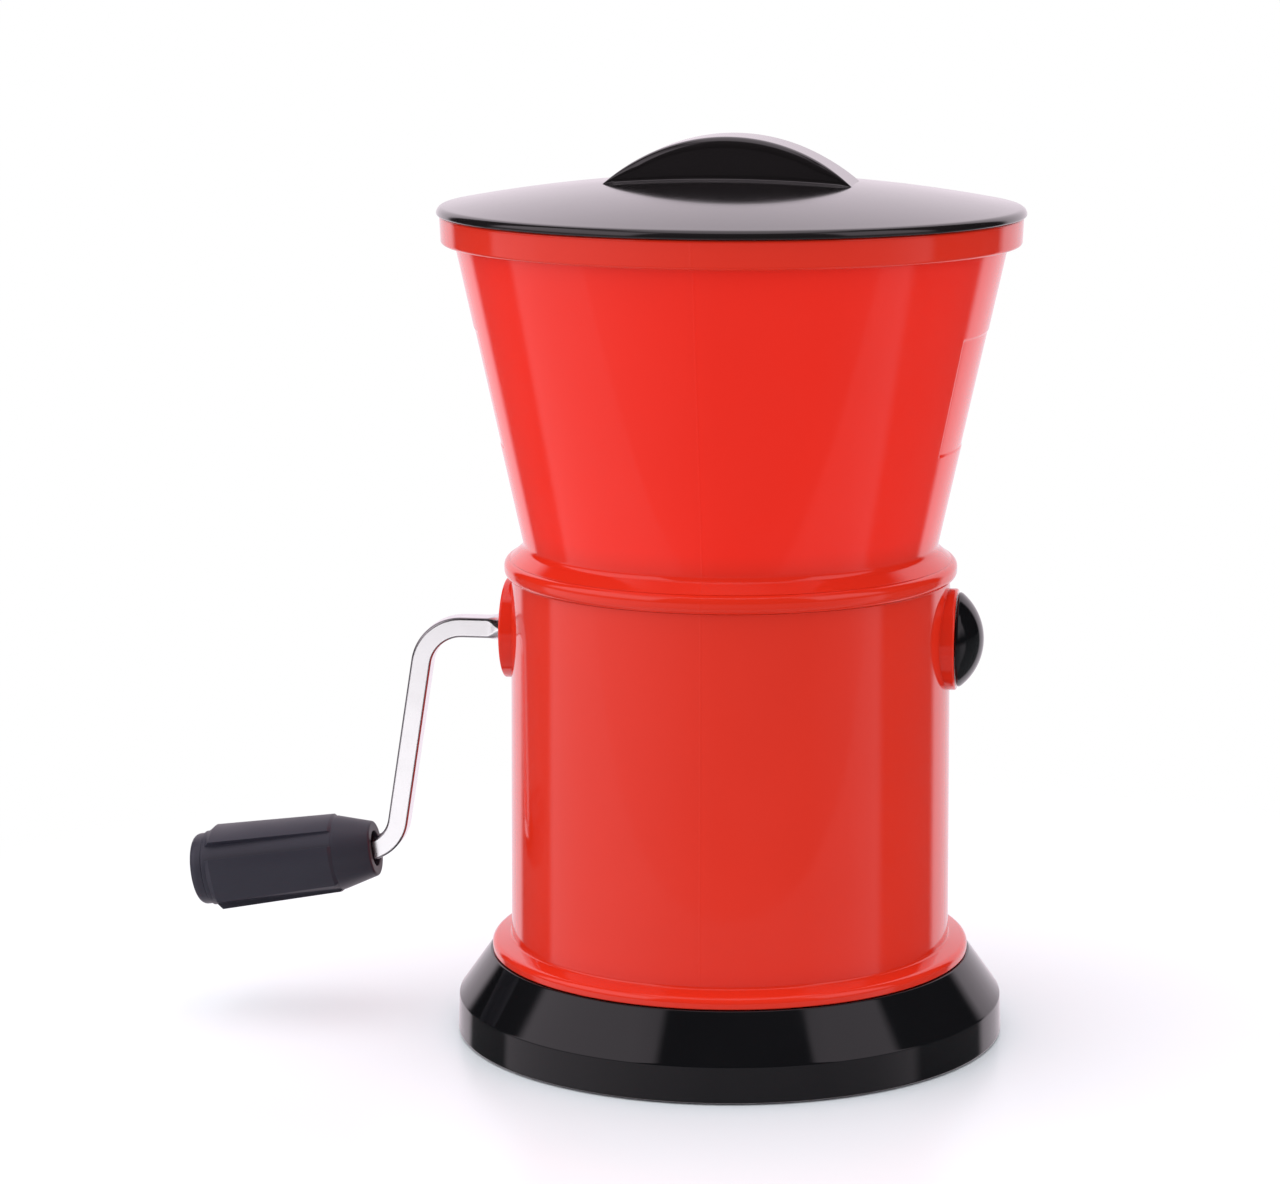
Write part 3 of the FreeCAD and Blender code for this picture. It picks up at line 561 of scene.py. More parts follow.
@dataclass(frozen=True)
class Metal:
    """A drawn, ground or plated metal; pull squeezes its lines along each axis."""

    name: str
    colour: tuple[float, float, float]
    gloss: float
    drift: float
    shade: float = 0.05
    lines: float = 0.000003
    pull: tuple[float, float, float] = (1.0, 1.0, 1.0)

    def material(self) -> bpy.types.Material:
        """Build the finish."""
        values = {
            "Colour": (*self.colour, 1.0), "Shade": self.shade, "Gloss": self.gloss, "Drift": self.drift,
            "Lines": self.lines, **dict(zip(("Along X", "Along Y", "Along Z"), self.pull))}
        return dressed(self.name, drawn_metal(), values, {"Metallic": 1.0})


FINISHES = {
    # The red's second colour is painted light: a lighter red on the hopper for the light that its thin wall
    # lets through.
    Slot.RED: Moulding("glossy_red", (0.77, 0.030, 0.012), 0.06, 0.05, 0.025, peel=0.000006,
                       painted_light_upper=(0.97, 0.026, 0.012), coat=0.35),
    Slot.BLACK: Moulding("glossy_black", (0.006, 0.006, 0.007), 0.05, 0.05, 0.2, peel=0.000004),
    Slot.LID: Moulding("lid_black", (0.012, 0.010, 0.011), 0.10, 0.04, 0.15, peel=0.000003, coat=0.6),
    Slot.GRIP: Moulding("grip_black", (0.029, 0.028, 0.043), 0.40, 0.1, 0.12, grain=0.000012),
    Slot.BRIGHT: Metal("bright_steel", (0.93, 0.92, 0.94), 0.21, 0.05, 0.02, pull=(0.05, 1.0, 0.05)),
    Slot.BLADE: Metal("ground_blade", (0.60, 0.60, 0.61), 0.24, 0.16, 0.1, pull=(1.0, 0.05, 1.0)),
    Slot.ZINC: Metal("zinc_plate", (0.55, 0.56, 0.59), 0.3, 0.12, 0.1, lines=0.000002),
    Slot.WHITE: Moulding("white_bearing_plastic", (0.72, 0.70, 0.64), 0.35, 0.15, 0.06, grain=0.000006),
    Slot.BRASS: Metal("turned_brass", (0.72, 0.50, 0.18), 0.2, 0.12, pull=(1.0, 0.05, 0.05)),
    Slot.RUBBER: Moulding("foot_rubber", (0.014, 0.014, 0.014), 0.65, 0.15, 0.15, grain=0.00003),
}


class Finishes:
    """The finishes, each built once."""

    def __init__(self) -> None:
        """Build every finish."""
        self.made = {slot: finish.material() for slot, finish in FINISHES.items()}

    def of(self, slot: Slot) -> bpy.types.Material:
        """The material of a slot."""
        return self.made[slot]


def seat(piece: bpy.types.Object, body: Body, slot: Slot, *nodes: str) -> None:
    """Let a piece ride on a body, in place of its solids.

    Args:
        piece: The piece.
        body: The body that carries it.
        slot: The record's slot for its finish; not used.
        nodes: Solids that it stands for.
    """
    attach(piece, body.value)
    if nodes:
        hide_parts(*nodes)


# ---------------------------------------------------------------- sub-assemblies


@dataclass
class RedBody:
    """The red moulding: foot flange, cylinder, bead, hopper and rim, with two shaft bosses."""

    radius: float = 51.0
    draft: float = 0.5
    inside: float = 48.6
    foot: float = 19.5
    flange: float = 56.0
    flange_top: tuple[float, float] = (22.0, 23.0)
    bead: float = 52.6
    bead_run: tuple[float, float] = (108.3, 112.6)
    neck: float = 48.0
    neck_height: float = 115.4
    hopper: float = 63.35
    hopper_top: float = 185.6
    rim: float = 66.8
    rim_inside: float = 63.3
    rim_top: float = 192.0
    mouth: tuple[float, float] = (60.55, 184.0)
    floor_edge: float = 45.6
    floor_top: float = 114.6
    floor_under: float = 112.0
    floor_middle: float = 113.3
    groove: float = 49.4
    groove_run: tuple[float, float] = (29.3, 25.3)
    throat: tuple[float, float] = (38.0, 28.0)
    throat_power: float = 9.0
    panel: tuple[float, float] = (139.6, 166.2)
    panel_half_angle: float = math.radians(21.0)
    panel_depth: float = 0.2
    seam_height: float = 0.04
    seam_half_angle: float = math.radians(0.22)
    shaft_height: float = 94.3
    boss: float = 11.8
    boss_face: float = 53.0
    boss_inner: float = 43.0
    bore: float = 5.0
    post_place: float = 30.0
    post_radius: float = 4.2
    post_low: float = 95.3
    post_top: float = 113.0
    hole_mark: float = 30.0

    def section(self) -> np.ndarray:
        """The closed section of the wall, outside up and inside down.

        The groove that takes the base's lugs runs round the inside near the foot, and the floor's
        edge stands at hole_mark.
        """
        hole = self.hole_mark
        bead_low, bead_high = self.bead_run
        groove_high, groove_low = self.groove_run
        path = rounded_path([
            (self.flange, self.foot, 0.4), (self.flange, self.flange_top[0], 1.5),
            (self.radius + self.draft, self.flange_top[1], 0.7), (self.radius, bead_low - 0.05, 0.3),
            (self.bead, bead_low, 1.75), (self.bead, bead_high, 1.75), (51.2, bead_high + 0.02, 0.25),
            (self.neck, self.neck_height, 1.6), (self.hopper, self.hopper_top, 0.5),
            (self.rim - 0.3, self.hopper_top, 0.7), (self.rim, self.rim_top, 0.5),
            (self.rim_inside, self.rim_top, 0.4), (self.rim_inside, 186.2, 0.5), (*self.mouth, 0.8),
            (self.floor_edge, self.floor_top, 1.0), (hole, self.floor_top, 0.5),
            (hole, self.floor_under, 0.5), (self.inside, self.floor_under, 1.0),
            (self.inside, groove_high, 0.1), (self.groove, groove_high, 0.1),
            (self.groove, groove_low, 0.1), (self.inside, groove_low, 0.1), (self.inside, self.foot, 0.4),
        ])
        on_hopper = (path[:, 1] > self.neck_height + 1.5) & (path[:, 1] < self.hopper_top - 0.5)
        outer = np.where(on_hopper & (np.arange(len(path)) < self.outer_rows(path)))[0]
        edges = np.array(self.panel)[:, None] + np.linspace(-0.5, 0.5, 7)
        heights = np.concatenate([edges.ravel(), np.linspace(120, 183, 15)])
        return add_points(path, heights, slice(int(outer[0]) - 1, int(outer[-1]) + 1))

    def wall(self) -> Sheet:
        """Carry the section round, with panels, mould seam and throat worked into it.

        The throat's edge is the curve |x/a|^p + |y/b|^p = 1, and the floor is stretched from the
        wall to it. A panel sinks the hopper by its depth inside a window of angle and height, and
        the seam is a narrow ridge at the front and back.
        """
        path = self.section()
        side = np.array([0.0, math.pi])
        marks = np.concatenate([side - self.panel_half_angle, side + self.panel_half_angle])
        seams = np.array([math.pi / 2, 3 * math.pi / 2])
        around = angles(256, np.concatenate([marks, seams]), math.radians(0.6), 9)
        radius = np.repeat(path[:, :1], len(around), 1)
        height = path[:, 1:]
        outside = (np.arange(len(path)) < self.outer_rows(path))[:, None]
        turn = np.abs((around + math.pi / 2) % math.pi - math.pi / 2)
        panel = window(turn, -1.0, self.panel_half_angle, 0.010) * window(height, *self.panel, 0.7)
        seam = np.exp(-((np.abs(turn - math.pi / 2) / self.seam_half_angle) ** 2))
        radius = radius - outside * (panel * self.panel_depth - seam * self.seam_height)
        edge = oblong(around, *self.throat, self.throat_power)
        floor = ~outside & (np.abs(height - self.floor_middle) < 1.5) & (path[:, :1] < self.inside)
        wall = np.where(height > self.floor_middle, self.floor_edge, self.inside)
        stretched = edge + (path[:, :1] - self.hole_mark) * (wall - edge) / (wall - self.hole_mark)
        radius = np.where(floor, stretched, radius)
        return Sheet(carried(radius, around, height), wrap_rows=True)

    def outer_rows(self, path: np.ndarray) -> int:
        """Number of rows of the section that lie outside: those before the top of the rim."""
        return int(np.argmax(path[:, 1] > self.rim_top - 0.01))

    def boss_ring(self, side: int) -> Sheet:
        """A boss for the shaft: a ring turned about the shaft's axis, sunk into the wall."""
        path = rounded_path([
            (self.bore, self.boss_inner, 0.2), (self.boss, self.boss_inner, 0.5),
            (self.boss, self.boss_face, 0.5), (self.bore, self.boss_face, 0.25)])
        middle = Vector((0, 0, self.shaft_height * MM))
        points = along(turned(path, even_angles(96)), middle, Vector((side, 0, 0)))
        return Sheet(points, wrap_rows=True)

    def post(self, x: int, y: int) -> Sheet:
        """A post under the floor that a comb is screwed to."""
        path = rounded_path([
            (0.0, self.post_low, SHARP), (self.post_radius, self.post_low, 0.4),
            (self.post_radius, self.post_top, 0.2), (0.0, self.post_top, SHARP)])
        path = path[path[:, 0] > 0.3]
        path = np.concatenate([[[0.0, self.post_low]], path, [[0.0, self.post_top]]])
        points = turned(path, even_angles(32))
        shift = np.array([x * self.post_place, y * self.post_place, 0.0]) * MM
        return Sheet(points + shift, first_pole=True, last_pole=True)

    def build(self, finishes: Finishes) -> None:
        """Make the moulding and seat it on the housing."""
        posts = [self.post(x, y) for x in (-1, 1) for y in (-1, 1)]
        sheets = [self.wall(), self.boss_ring(1), self.boss_ring(-1), *posts]
        seat(make_piece("red_body", sheets, finishes.of(Slot.RED)), Body.HOUSING, Slot.RED, "body_shell")


@dataclass
class BlackBase:
    """The collecting base: skirt and cone outside, cup and spigot inside, with three lugs."""

    skirt: float = 64.2
    skirt_top: float = 63.9
    skirt_height: float = 8.8
    cone_top: float = 56.4
    height: float = 19.4
    spigot: float = 48.0
    spigot_top: float = 30.5
    cup: float = 45.8
    cup_floor: float = 6.0
    under: float = 3.4
    foot: float = 0.4
    inner_skirt: tuple[float, float] = (61.8, 61.5)
    inner_cone: tuple[float, float] = (55.1, 17.0)
    ring_foot: float = 1.0
    ring_groove: tuple[float, float] = (44.0, 40.0)
    ring_inside: float = 38.4
    lug_reach: float = 1.0
    lug_low: float = 25.6
    lug_high: float = 29.0
    lug_half_angle: float = math.radians(7.0)
    lug_count: int = 3

    def section(self) -> np.ndarray:
        """The section from the middle of the cup's floor round the outside to the middle below."""
        ring, groove = self.ring_foot, self.ring_groove
        skirt_low, skirt_high = self.inner_skirt
        path = rounded_path([
            (-5.0, self.cup_floor, SHARP), (self.cup, self.cup_floor, 1.6),
            (self.cup, self.spigot_top, 0.6), (self.spigot, self.spigot_top, 0.6),
            (self.spigot, self.height, 0.3), (self.cone_top, self.height, 0.4),
            (self.skirt_top, self.skirt_height, 0.75), (self.skirt, self.foot, 0.5),
            (skirt_low, self.foot, 0.5), (skirt_high, 8.1, 0.6), (*self.inner_cone, 0.6),
            (self.spigot, self.inner_cone[1], 0.6), (self.spigot, ring, 0.3), (groove[0], ring, 0.3),
            (groove[0], self.under, 0.2), (groove[1], self.under, 0.2), (groove[1], ring, 0.3),
            (self.ring_inside, ring, 0.3), (self.ring_inside, self.under, 0.4),
            (-5.0, self.under, SHARP),
        ])
        path = path[path[:, 0] > 0]
        over_cone = (path[:, 1] > self.height + 0.2) & (path[:, 1] < self.spigot_top - 0.3)
        outer = np.where(self.on_spigot(path[:, 0]) & over_cone)[0]
        steps = np.array([self.lug_low, self.lug_high])[:, None] + np.linspace(-0.25, 0.25, 5)
        path = add_points(path, steps.ravel(), slice(int(outer[0]), int(outer[-1]) + 1))
        return np.concatenate([[[0.0, self.cup_floor]], path, [[0.0, self.under]]])

    def on_spigot(self, radius: np.ndarray) -> np.ndarray:
        """Tell which radii are the spigot's outside."""
        return np.abs(radius - self.spigot) < 0.01

    def shell(self) -> Sheet:
        """Carry the section round; a lug raises the spigot by its reach inside a window."""
        path = self.section()
        middles = np.arange(self.lug_count) * TAU / self.lug_count
        ends = np.concatenate([middles - self.lug_half_angle, middles + self.lug_half_angle])
        around = angles(256, ends, math.radians(0.3), 5)
        step = TAU / self.lug_count
        turn = np.abs((around + step / 2) % step - step / 2)
        lug = window(turn, -1.0, self.lug_half_angle, 0.006)
        rise = window(path[:, 1:], self.lug_low, self.lug_high, 0.4) * self.on_spigot(path[:, :1])
        radius = path[:, :1] + self.lug_reach * lug * rise
        return Sheet(carried(radius, around, path[:, 1:]), first_pole=True, last_pole=True)

    def build(self, finishes: Finishes) -> None:
        """Make the base and seat it."""
        made = make_piece("black_base", [self.shell()], finishes.of(Slot.BLACK))
        seat(made, Body.BASE, Slot.BLACK, "collecting_base")


@dataclass
class DomedLid:
    """The lid: a shallow dome with a plug ring and an arched bar for a handle."""

    edge: float = 67.5
    bottom: float = 192.1
    dome_edge: float = 66.3
    dome_edge_height: float = 194.05
    top: float = 200.4
    wall: float = 2.4
    plug: float = 62.8
    plug_inner: float = 60.8
    plug_low: float = 187.4
    arch_round: float = 42.5
    arch_top: float = 210.05
    half_width: float = 9.0
    bar_wall: float = 2.4
    edge_round: float = 2.2
    foot_round: float = 0.9
    bar_sunk: float = 1.2
    hollow_power: float = 8.0
    hollow_chord: float = 30.0
    under_edge: float = 58.5
    rim_start: float = 40.0

    def dome(self, radius: np.ndarray) -> np.ndarray:
        """Height of the dome over a radius: a sphere through its top and its edge."""
        drop = self.top - self.dome_edge_height
        ball = ball_radius(self.dome_edge, drop)
        return self.top - ball + np.sqrt(ball ** 2 - radius ** 2)

    def under(self, radius: np.ndarray) -> np.ndarray:
        """Height of the dome's underside: a sphere from the plug ring to a wall below the top."""
        rise = self.top - self.wall - self.bottom
        ball = ball_radius(self.plug_inner, rise)
        return self.bottom + rise - ball + np.sqrt(ball ** 2 - radius ** 2)

    def arch(self, x: np.ndarray, inset: float = 0.0) -> np.ndarray:
        """Height of the handle's arch at x: a circle, set in by inset."""
        radius = self.arch_round - inset
        return self.arch_top - self.arch_round + np.sqrt(np.maximum(radius ** 2 - x ** 2, 0.0))

    def shell(self) -> Sheet:
        """Turn the dome, edge and plug ring; the underside runs into the hollow of the handle.

        The hollow's mouth is the curve |x/a|^p + |y/b|^p = 1. From it a wall rises to the arch's
        inner circle, which closes the hollow over the middle.
        """
        around = even_angles(256)
        inner = np.linspace(0.0, 0.985, 40) * self.dome_edge
        top = np.stack([inner, self.dome(inner)], -1)
        start = self.rim_start
        rim = rounded_path([
            (start, float(self.dome(start)), SHARP), (self.edge - 0.1, self.dome_edge_height - 0.15, 1.6),
            (self.edge, self.bottom, 0.4), (self.plug, self.bottom, 0.3), (self.plug, self.plug_low, 0.5),
            (self.plug_inner, self.plug_low, 0.5), (self.plug_inner, self.bottom + 0.2, 0.6),
            (start, float(self.under(start)), SHARP),
        ])
        rim = rim[rim[:, 0] > self.dome_edge * 0.99 - 6.0]
        rim = rim[(rim[:, 0] > 66.0) | (rim[:, 1] < 193.4)]
        outside = turned(np.concatenate([top, rim]), around)
        half_long = math.sqrt((self.arch_round - self.bar_wall) ** 2 - self.hollow_chord ** 2)
        half_wide = self.half_width - self.bar_wall
        mouth = oblong(around, half_long, half_wide, self.hollow_power)
        share = np.linspace(0.98, 0.0, 12)[:, None]
        radius = mouth + (self.under_edge - mouth) * share
        floor = carried(radius, around, self.under(radius))
        shrink = np.concatenate([[1.0], np.linspace(0.985, 0.0, 8)])[:, None]
        radius = mouth * shrink
        roof = np.maximum(self.arch(radius * np.cos(around), self.bar_wall), self.under(radius))
        core = carried(radius, around, roof)
        return Sheet(np.concatenate([outside, floor, core]), first_pole=True, last_pole=True)

    def bar(self) -> Sheet:
        """The handle's bar, a section carried along X.

        A section leaves the dome on a foot fillet, climbs the wall, rounds the edge at the arch and
        comes down the other side; both rounds shrink with the height that is left near the ends.
        """
        foot = self.half_width + self.foot_round
        half = self.reach()
        x = half * np.sin(np.linspace(-math.pi / 2, math.pi / 2, 121))[:, None]
        base = self.dome(np.sqrt(x ** 2 + self.half_width ** 2))
        tall = np.maximum(self.arch(x) - base, 0.0)
        edge = np.minimum(self.edge_round, tall * 0.45)
        curve = np.minimum(self.foot_round, tall * 0.45)
        quarter = np.linspace(0, math.pi / 2, 9)[None]
        foot_y = self.half_width + curve * (1 - np.sin(quarter))
        foot_z = base + curve * (1 - np.cos(quarter))
        wall_z = base + curve + (tall - curve - edge) * np.array([[0.05, 0.35, 0.65, 0.95]])
        wall_y = np.full_like(wall_z, self.half_width)
        edge_y = self.half_width - edge * (1 - np.cos(quarter))
        edge_z = base + tall - edge * (1 - np.sin(quarter))
        flat_y = (self.half_width - edge) * np.array([[0.97, 0.6, 0.2]])
        flat_z = np.repeat(base + tall, 3, 1)
        y = np.concatenate([foot_y, wall_y, edge_y, flat_y], 1)
        z = np.concatenate([foot_z, wall_z, edge_z, flat_z], 1)
        y = np.concatenate([-y, y[:, ::-1]], 1)
        z = np.concatenate([z, z[:, ::-1]], 1)
        y = np.concatenate([y, np.array([[foot, -foot]]) + 0 * x], 1)
        z = np.concatenate([z, np.repeat(base - self.bar_sunk, 2, 1)], 1)
        return Sheet(np.stack([np.repeat(x, y.shape[1], 1), y, z], -1) * MM)

    def reach(self) -> float:
        """Half the length of the handle: where the arch comes down to the dome, found by halving."""
        low, high = 10.0, 40.0
        for _ in range(40):
            middle = (low + high) / 2
            ground = self.dome(np.array(math.hypot(middle, self.half_width)))
            low, high = (middle, high) if self.arch(np.array(middle)) > ground else (low, middle)
        return low

    def build(self, finishes: Finishes) -> None:
        """Make the lid and seat it."""
        made = make_piece("domed_lid", [self.shell(), self.bar()], finishes.of(Slot.LID))
        seat(made, Body.LID, Slot.LID, "lid")


@dataclass
class Crank:
    """The bent steel rod that is shaft, arm and spindle in one, and the cap nut on its end."""

    shaft_height: float = 94.3
    arm_reach: float = 71.9
    arm_drop: float = 53.9
    arm_lean: float = math.radians(8.9)
    grip_tilt: float = math.radians(8.8)
    first_bend: float = 10.0
    second_bend: float = 9.0
    thread_end: float = 56.6
    spindle_end: float = 43.0
    round_end: float = 57.4
    ramp: float = 3.0
    bar: tuple[float, float, float] = (2.4, 2.65, 0.6)
    turned_radii: tuple[float, float, float] = (2.0, 2.5, 3.1)
    shaft_step: float = 40.3
    pin_radii: tuple[float, float] = (3.3, 2.5)
    pin_start: float = 12.55
    nut_seat: float = 53.2
    nut_radius: float = 10.95
    nut_tip: float = 59.1
    nut_rim: float = 0.6

    def elbow(self) -> np.ndarray:
        """The corner where the arm meets the spindle, as (x, z)."""
        out = self.arm_reach + self.arm_drop * math.tan(self.arm_lean)
        return np.array([-out, self.shaft_height - self.arm_drop])

    def outward(self) -> np.ndarray:
        """Direction of the spindle away from the arm, as (x, z)."""
        return np.array([-math.cos(self.grip_tilt), -math.sin(self.grip_tilt)])

    def route(self) -> np.ndarray:
        """The rod's centre line from the threaded end to the riveted end, bends as arcs."""
        elbow = self.elbow()
        end = elbow + self.outward() * self.spindle_end
        loop = rounded_path([
            (self.thread_end, self.shaft_height, SHARP),
            (-self.arm_reach, self.shaft_height, self.first_bend), (*elbow, self.second_bend),
            (*end, SHARP), (0.0, -60.0, SHARP)], steps=24)
        keep = loop.reshape(5, -1, 2)
        start = np.array([[self.thread_end, self.shaft_height]])
        return np.concatenate([start, keep[1], keep[2], end[None]])

    def sizes(self, run: np.ndarray, x: np.ndarray, spindle: float) -> np.ndarray:
        """Half height, half width and corner radius of the rod at points along it.

        Args:
            run: Length along the rod.
            x: Place along X.
            spindle: Run where the spindle starts.

        Returns:
            One row of three sizes for each point.
        """
        bar = np.array(self.bar)
        thread, journal, shaft = self.turned_radii
        seat_x, step_x = self.nut_seat, self.shaft_step
        table = np.array([
            (self.thread_end, thread), (seat_x + 0.05, thread), (seat_x, journal), (step_x + 0.05, journal),
            (step_x, shaft), (-self.round_end + self.ramp, shaft)])
        rounds = np.interp(-x, -table[:, 0], table[:, 1])
        rod = np.stack([rounds, rounds, rounds * 0.985], -1)
        size = rod + (bar - rod) * ease((-x - self.round_end + self.ramp) / self.ramp)[:, None]
        stops = [spindle - 0.4, spindle, run[-1] - 1.25, run[-1] - 1.2]
        far = np.interp(run, stops, [0.0, 1.0, 1.0, 2.0])
        pin = np.where(far > 1.5, *self.pin_radii)[:, None] * np.array([1.0, 1.0, 0.985])
        return size + (pin - size) * np.minimum(far, 1.0)[:, None]

    def rod(self) -> Sheet:
        """Carry a rounded rectangle along the rod's line.

        A point of the outline is (cx (a - r) + nx r, cy (b - r) + ny r), with c the corner it
        belongs to and n its outward direction, so the same outline runs from a round to a bar.
        """
        line = self.route()
        run = np.concatenate([[0], np.cumsum(np.linalg.norm(np.diff(line, axis=0), axis=1))])
        spindle = run[-1] - self.spindle_end + self.pin_start
        steps = np.concatenate([
            self.nut_seat + np.array([0.1, 0.0, -0.05]), self.shaft_step + np.array([0.1, 0.0, -0.1])])
        ramp = -np.linspace(self.round_end - self.ramp - 0.2, self.round_end + 0.2, 15)
        to_x = self.thread_end - np.concatenate([steps, ramp])
        neck = spindle + np.array([-0.45, -0.4, 0.0, 0.05])
        rivet = run[-1] - np.array([1.3, 1.25, 1.2, 1.15, 0.05])
        even = np.linspace(0, run[-1], 60)
        stations = np.unique(np.round(np.concatenate([run, to_x, neck, rivet, even]), 4))
        place = np.stack([np.interp(stations, run, line[:, k]) for k in (0, 1)], -1)
        heading = np.gradient(place, stations, axis=0)
        heading /= np.linalg.norm(heading, axis=1, keepdims=True)
        size = self.sizes(stations, place[:, 0], spindle)
        outline = self.outline()
        up = outline[:, 0] * (size[:, :1] - size[:, 2:]) + outline[:, 2] * size[:, 2:]
        out = outline[:, 1] * (size[:, 1:2] - size[:, 2:]) + outline[:, 3] * size[:, 2:]
        normal = np.stack([-heading[:, 1], heading[:, 0]], -1)
        x = place[:, :1] + normal[:, :1] * up
        z = place[:, 1:] + normal[:, 1:] * up
        tube = np.stack([x, out, z], -1)
        middle = np.stack([place[:, 0], 0 * stations, place[:, 1]], -1)[:, None]
        first, last = (np.repeat(middle[part], tube.shape[1], 1) for part in (slice(1), slice(-1, None)))
        # Edge weights for painted shade: high along the middle of each corner arc where the rod is a flat
        # bar, so that the steel's finish paints thin dark lines there for the shade on its rounded corners.
        barred = np.clip((size[:, 1:2] - size[:, 2:] - 0.5) / 1.4, 0, 1)
        slant = np.clip(1.6 * np.abs(outline[:, 2] * outline[:, 3]) * 2 - 0.6, 0, 1)
        flat = np.zeros((1, tube.shape[1]))
        edge = np.concatenate([flat, barred * slant, flat])
        points = np.concatenate([first, tube, last]) * MM
        return Sheet(points, first_pole=True, last_pole=True, edge=edge)

    def outline(self) -> np.ndarray:
        """Corner and outward direction of each point of a rounded rectangle, as cx, cy, nx, ny."""
        quarter = np.linspace(0, math.pi / 2, 7)
        flat = np.array([0.94, 0.5, 0.0, -0.5, -0.94])
        whole, ones = np.ones(7), np.ones(5)
        rows = []
        for corner in range(4):
            start = corner * math.pi / 2
            turn = start + quarter
            x, y = np.sign([math.cos(start + 0.5), math.sin(start + 0.5)])
            rows.append(np.stack([whole * x, whole * y, np.cos(turn), np.sin(turn)], -1))
            face_x, face_y = np.round([math.cos(turn[-1]), math.sin(turn[-1])])
            along_x, along_y = (flat, ones) if corner % 2 == 0 else (ones, flat)
            rows.append(np.stack([along_x * x, along_y * y, ones * face_x, ones * face_y], -1))
        return np.concatenate(rows)

    def nut(self) -> Sheet:
        """The cap nut: a spherical dome on a short rim, turned about the shaft."""
        rise = self.nut_tip - self.nut_seat - self.nut_rim
        ball = ball_radius(self.nut_radius, rise)
        slope = np.linspace(0, math.asin(self.nut_radius / ball) * 0.97, 28)
        dome = np.stack([ball * np.sin(slope), self.nut_tip - ball * (1 - np.cos(slope))], -1)
        rim = rounded_path([
            (8.0, dome[-1, 1] + 1.9, SHARP), (self.nut_radius, self.nut_seat + self.nut_rim, 0.45),
            (self.nut_radius - 0.05, self.nut_seat, 0.2), (3.0, self.nut_seat, SHARP)])
        below_dome = rim[:, 0] > dome[-1, 0] + 0.05
        on_seat = (rim[:, 1] < self.nut_seat + 0.01) & (rim[:, 0] > 2.9)
        path = np.concatenate([dome, rim[below_dome | on_seat], [[0.0, self.nut_seat]]])
        points = turned(path, even_angles(128))
        points = along(points, Vector((0, 0, self.shaft_height * MM)), Vector((1, 0, 0)))
        return Sheet(points, first_pole=True, last_pole=True)

    def build(self, finishes: Finishes) -> None:
        """Make the rod and the nut and seat them on the rotor."""
        rod = make_piece("crank", [self.rod()], finishes.of(Slot.BRIGHT))
        seat(rod, Body.ROTOR, Slot.BRIGHT, "crank_rod")
        nut = make_piece("cap_nut", [self.nut()], finishes.of(Slot.BLACK))
        seat(nut, Body.ROTOR, Slot.BLACK, "locking_nut")


